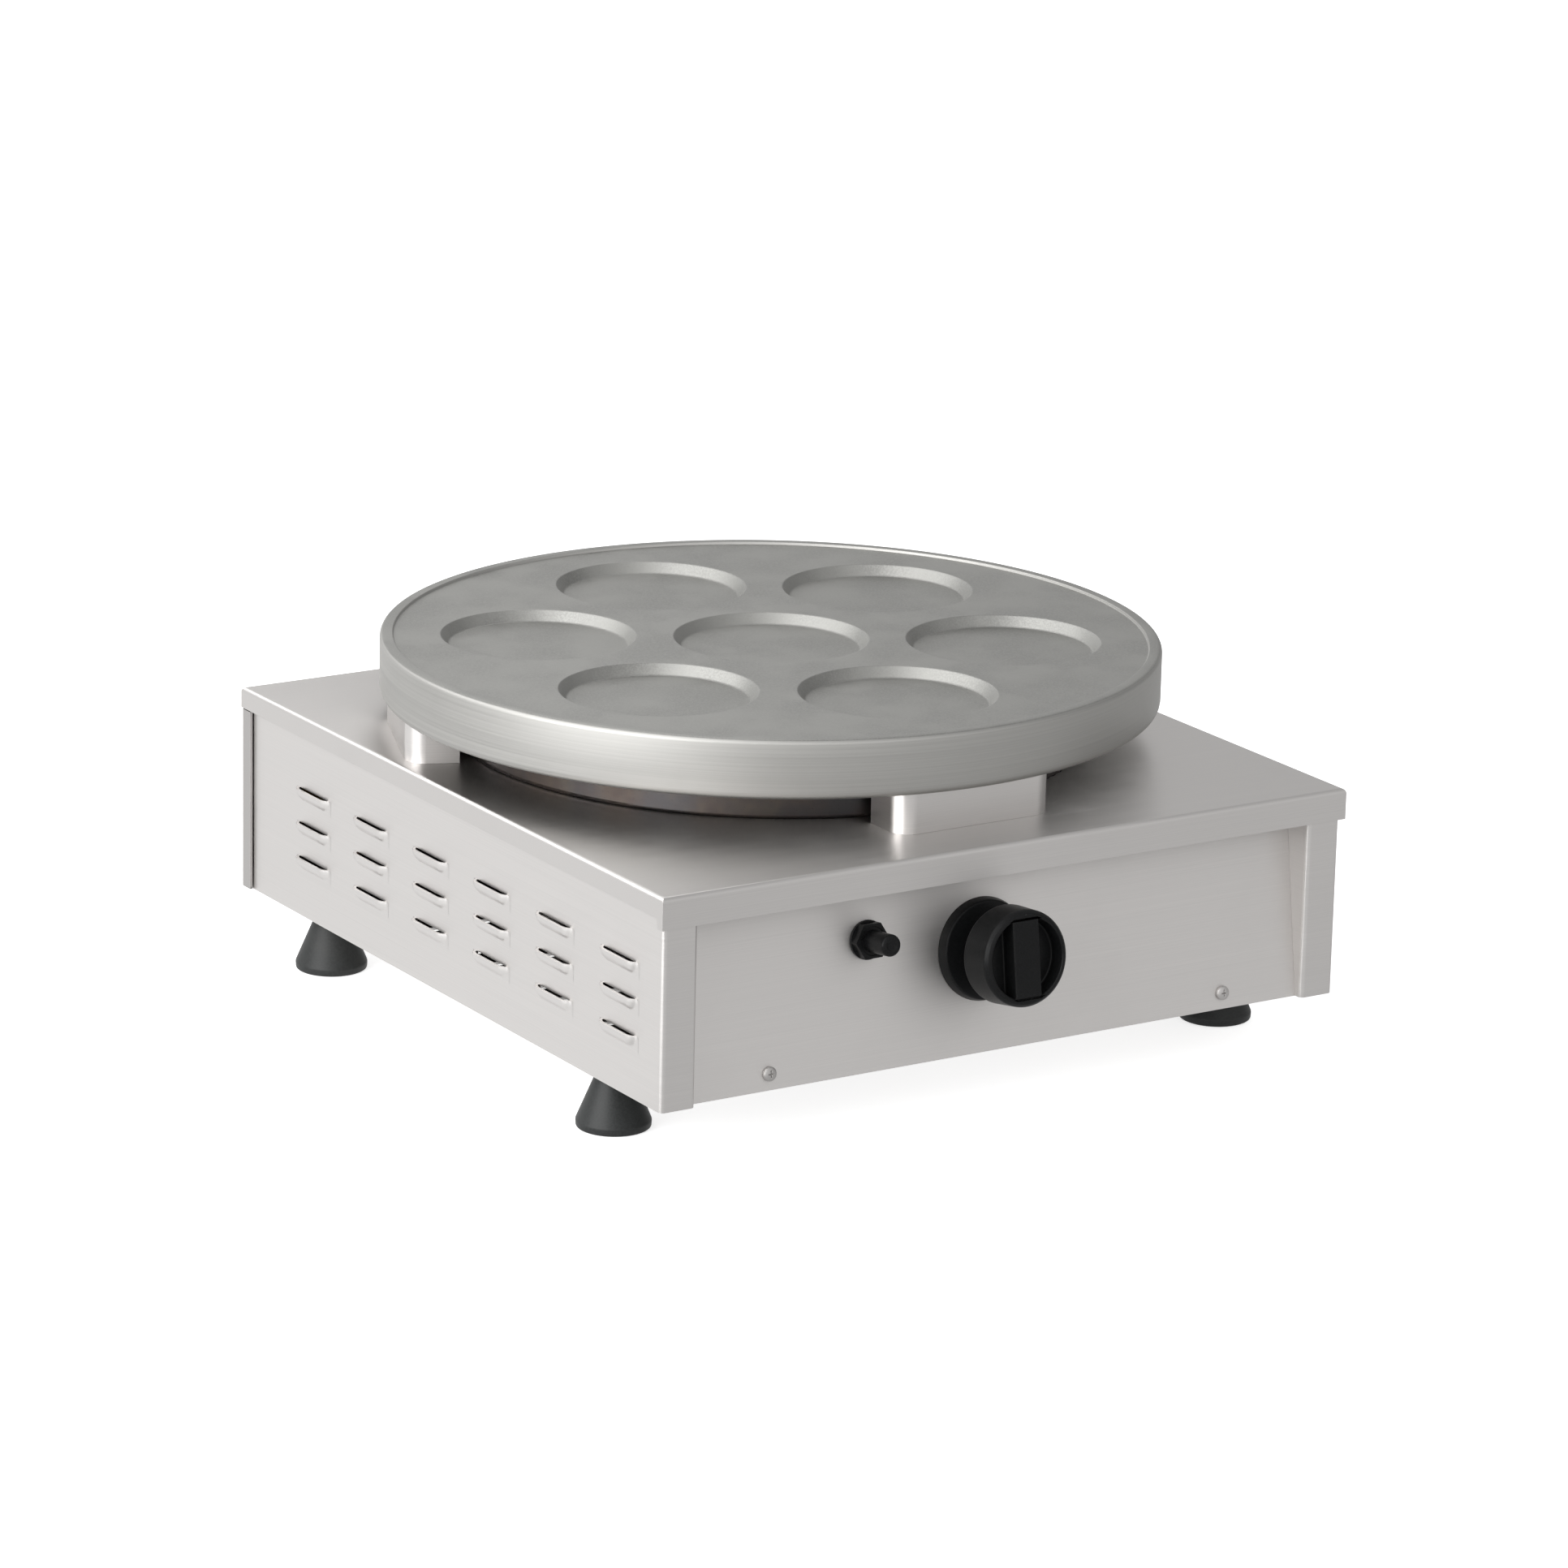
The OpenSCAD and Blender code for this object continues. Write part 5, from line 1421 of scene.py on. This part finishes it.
def studio_floor():
    """A wide pale floor with soft shadows that looks white in the open and dark far under the machine."""
    form = bmesh.new()
    signs = ((-1, -1), (1, -1), (1, 1), (-1, 1))
    form.faces.new([form.verts.new((x * FLOOR_REACH, y * FLOOR_REACH, -FLOOR_DROP)) for x, y in signs])
    floor = object_from("floor", form)
    material = bpy.data.materials.new("floor")
    graph = bare_graph(material)
    path = graph.add("ShaderNodeLightPath").outputs
    across = graph.axes(graph.add("ShaderNodeTexCoord").outputs["Object"])
    matt = graph.add("ShaderNodeBsdfDiffuse", {"Color": FLOOR_TONE}).outputs[0]

    # What the camera sees: white in the open, dark near the middle
    inside = graph.math("MAXIMUM", graph.math("ABSOLUTE", across["X"]), graph.math("ABSOLUTE", across["Y"]))
    open_floor = graph.spread(inside, 0.08, 0.125, 0.05, 0.72)
    glow = graph.add("ShaderNodeEmission", {"Color": WHITE, "Strength": open_floor}).outputs[0]
    lit = graph.add("ShaderNodeAddShader", {0: matt, 1: glow}).outputs[0]

    # What mirrors see: a floor whose brightness changes with the bearing from the machine
    bearing = graph.math("ARCTAN2", graph.scaled(across["X"], -1.0), graph.scaled(across["Y"], -1.0))
    rise = graph.spread(bearing, 0.7, 1.15, 0.62, 1.0)
    level = graph.math("MINIMUM", rise, graph.spread(bearing, 3.0, 3.14, 1.0, 0.75))
    bright = graph.add("ShaderNodeEmission", {"Color": WHITE, "Strength": level}).outputs[0]
    mirrored = graph.math("MAXIMUM", path["Is Glossy Ray"], path["Is Transmission Ray"])

    shown = graph.add("ShaderNodeMixShader", {0: path["Is Camera Ray"], 1: matt, 2: lit}).outputs[0]
    shown = graph.add("ShaderNodeMixShader", {0: mirrored, 1: shown, 2: bright}).outputs[0]
    graph.add("ShaderNodeOutputMaterial", {"Surface": shown})
    floor.data.materials.append(material)


def studio_world(scene):
    """A pale room, white to the camera: brighter to the left and ahead, darker overhead and to the right."""
    world = bpy.data.worlds.new("studio")
    graph = bare_graph(world)
    path = graph.add("ShaderNodeLightPath").outputs
    axes = graph.axes(graph.add("ShaderNodeTexCoord").outputs["Generated"])
    height = graph.spread(axes["Z"], 0.55, 0.8, 0.64, 0.5)
    left = graph.spread(axes["X"], -0.1, 0.4, 1.5, 1.0)
    right = graph.spread(axes["X"], 0.55, 0.95, 1.0, 0.55)
    ahead = graph.spread(axes["Y"], -0.3, -0.7, 1.0, 1.25)
    level = graph.scaled(graph.scaled(height, ahead), graph.scaled(left, right))
    room = graph.add("ShaderNodeBackground", {"Color": WHITE, "Strength": level}).outputs[0]
    white = graph.add("ShaderNodeBackground", {"Color": WHITE, "Strength": 1.0}).outputs[0]
    shown = graph.add("ShaderNodeMixShader", {0: path["Is Camera Ray"], 1: room, 2: white}).outputs[0]
    graph.add("ShaderNodeOutputWorld", {"Surface": shown})
    scene.world = world


def softbox(name, place, target, size, brightness):
    """A flat lamp of the given width and height whose face has the given brightness."""
    lamp = bpy.data.lights.new(name, "AREA")
    lamp.shape = "RECTANGLE"
    lamp.size, lamp.size_y = size
    lamp.energy = brightness * math.pi * size[0] * size[1]
    piece = new_object(name, lamp)
    piece.location = place
    piece.rotation_euler = (Vector(target) - Vector(place)).to_track_quat("-Z", "Y").to_euler()
    piece.visible_camera = False


def studio_camera(scene):
    """The viewpoint solved from the edges of the case and the plate."""
    lens = bpy.data.cameras.new("camera")
    lens.lens = LENS
    lens.sensor_width = SENSOR
    lens.clip_end = FARTHEST
    camera = new_object("camera", lens)
    place = Matrix((CAMERA_RIGHT, CAMERA_UP, CAMERA_BACK)).transposed().to_4x4()
    place.translation = CAMERA_PLACE
    camera.matrix_world = place
    scene.camera = camera


# Sidebar


SETTINGS = (
    ("pancake_plate", PlateSizes),
    ("pancake_louvres", LouvreSizes),
    ("pancake_controls", ControlSizes),
    ("pancake_fittings", FittingSizes),
    ("pancake_finishes", Finishes),
)

STEPS = (
    PANCAKE_OT_case,
    PANCAKE_OT_louvres,
    PANCAKE_OT_plate,
    PANCAKE_OT_supports,
    PANCAKE_OT_burner,
    PANCAKE_OT_gas_train,
    PANCAKE_OT_knob,
    PANCAKE_OT_igniter,
    PANCAKE_OT_feet,
    PANCAKE_OT_fasteners,
    PANCAKE_OT_stage,
)


class PANCAKE_PT_sidebar(bpy.types.Panel):
    """Lists the machine's steps and settings"""

    bl_idname = "PANCAKE_PT_sidebar"
    bl_label = "Pancake machine"
    bl_space_type = "VIEW_3D"
    bl_region_type = "UI"
    bl_category = "Pancake machine"

    def draw(self, context):
        layout = self.layout
        for step in STEPS:
            layout.operator(step.bl_idname)
        for name, group in SETTINGS:
            box = layout.box()
            box.label(text=group.__name__)
            for field in group.__annotations__:
                box.prop(getattr(context.scene, name), field)


def register():
    for name, group in SETTINGS:
        bpy.utils.register_class(group)
        setattr(bpy.types.Scene, name, bpy.props.PointerProperty(type=group))
    for step in STEPS:
        bpy.utils.register_class(step)
    bpy.utils.register_class(PANCAKE_PT_sidebar)


def unregister():
    bpy.utils.unregister_class(PANCAKE_PT_sidebar)
    for step in reversed(STEPS):
        bpy.utils.unregister_class(step)
    for name, group in reversed(SETTINGS):
        delattr(bpy.types.Scene, name)
        bpy.utils.unregister_class(group)


def main():
    register()
    for step in STEPS:
        area, name = step.bl_idname.split(".")
        getattr(getattr(bpy.ops, area), name)()


if __name__ == "__main__":
    main()
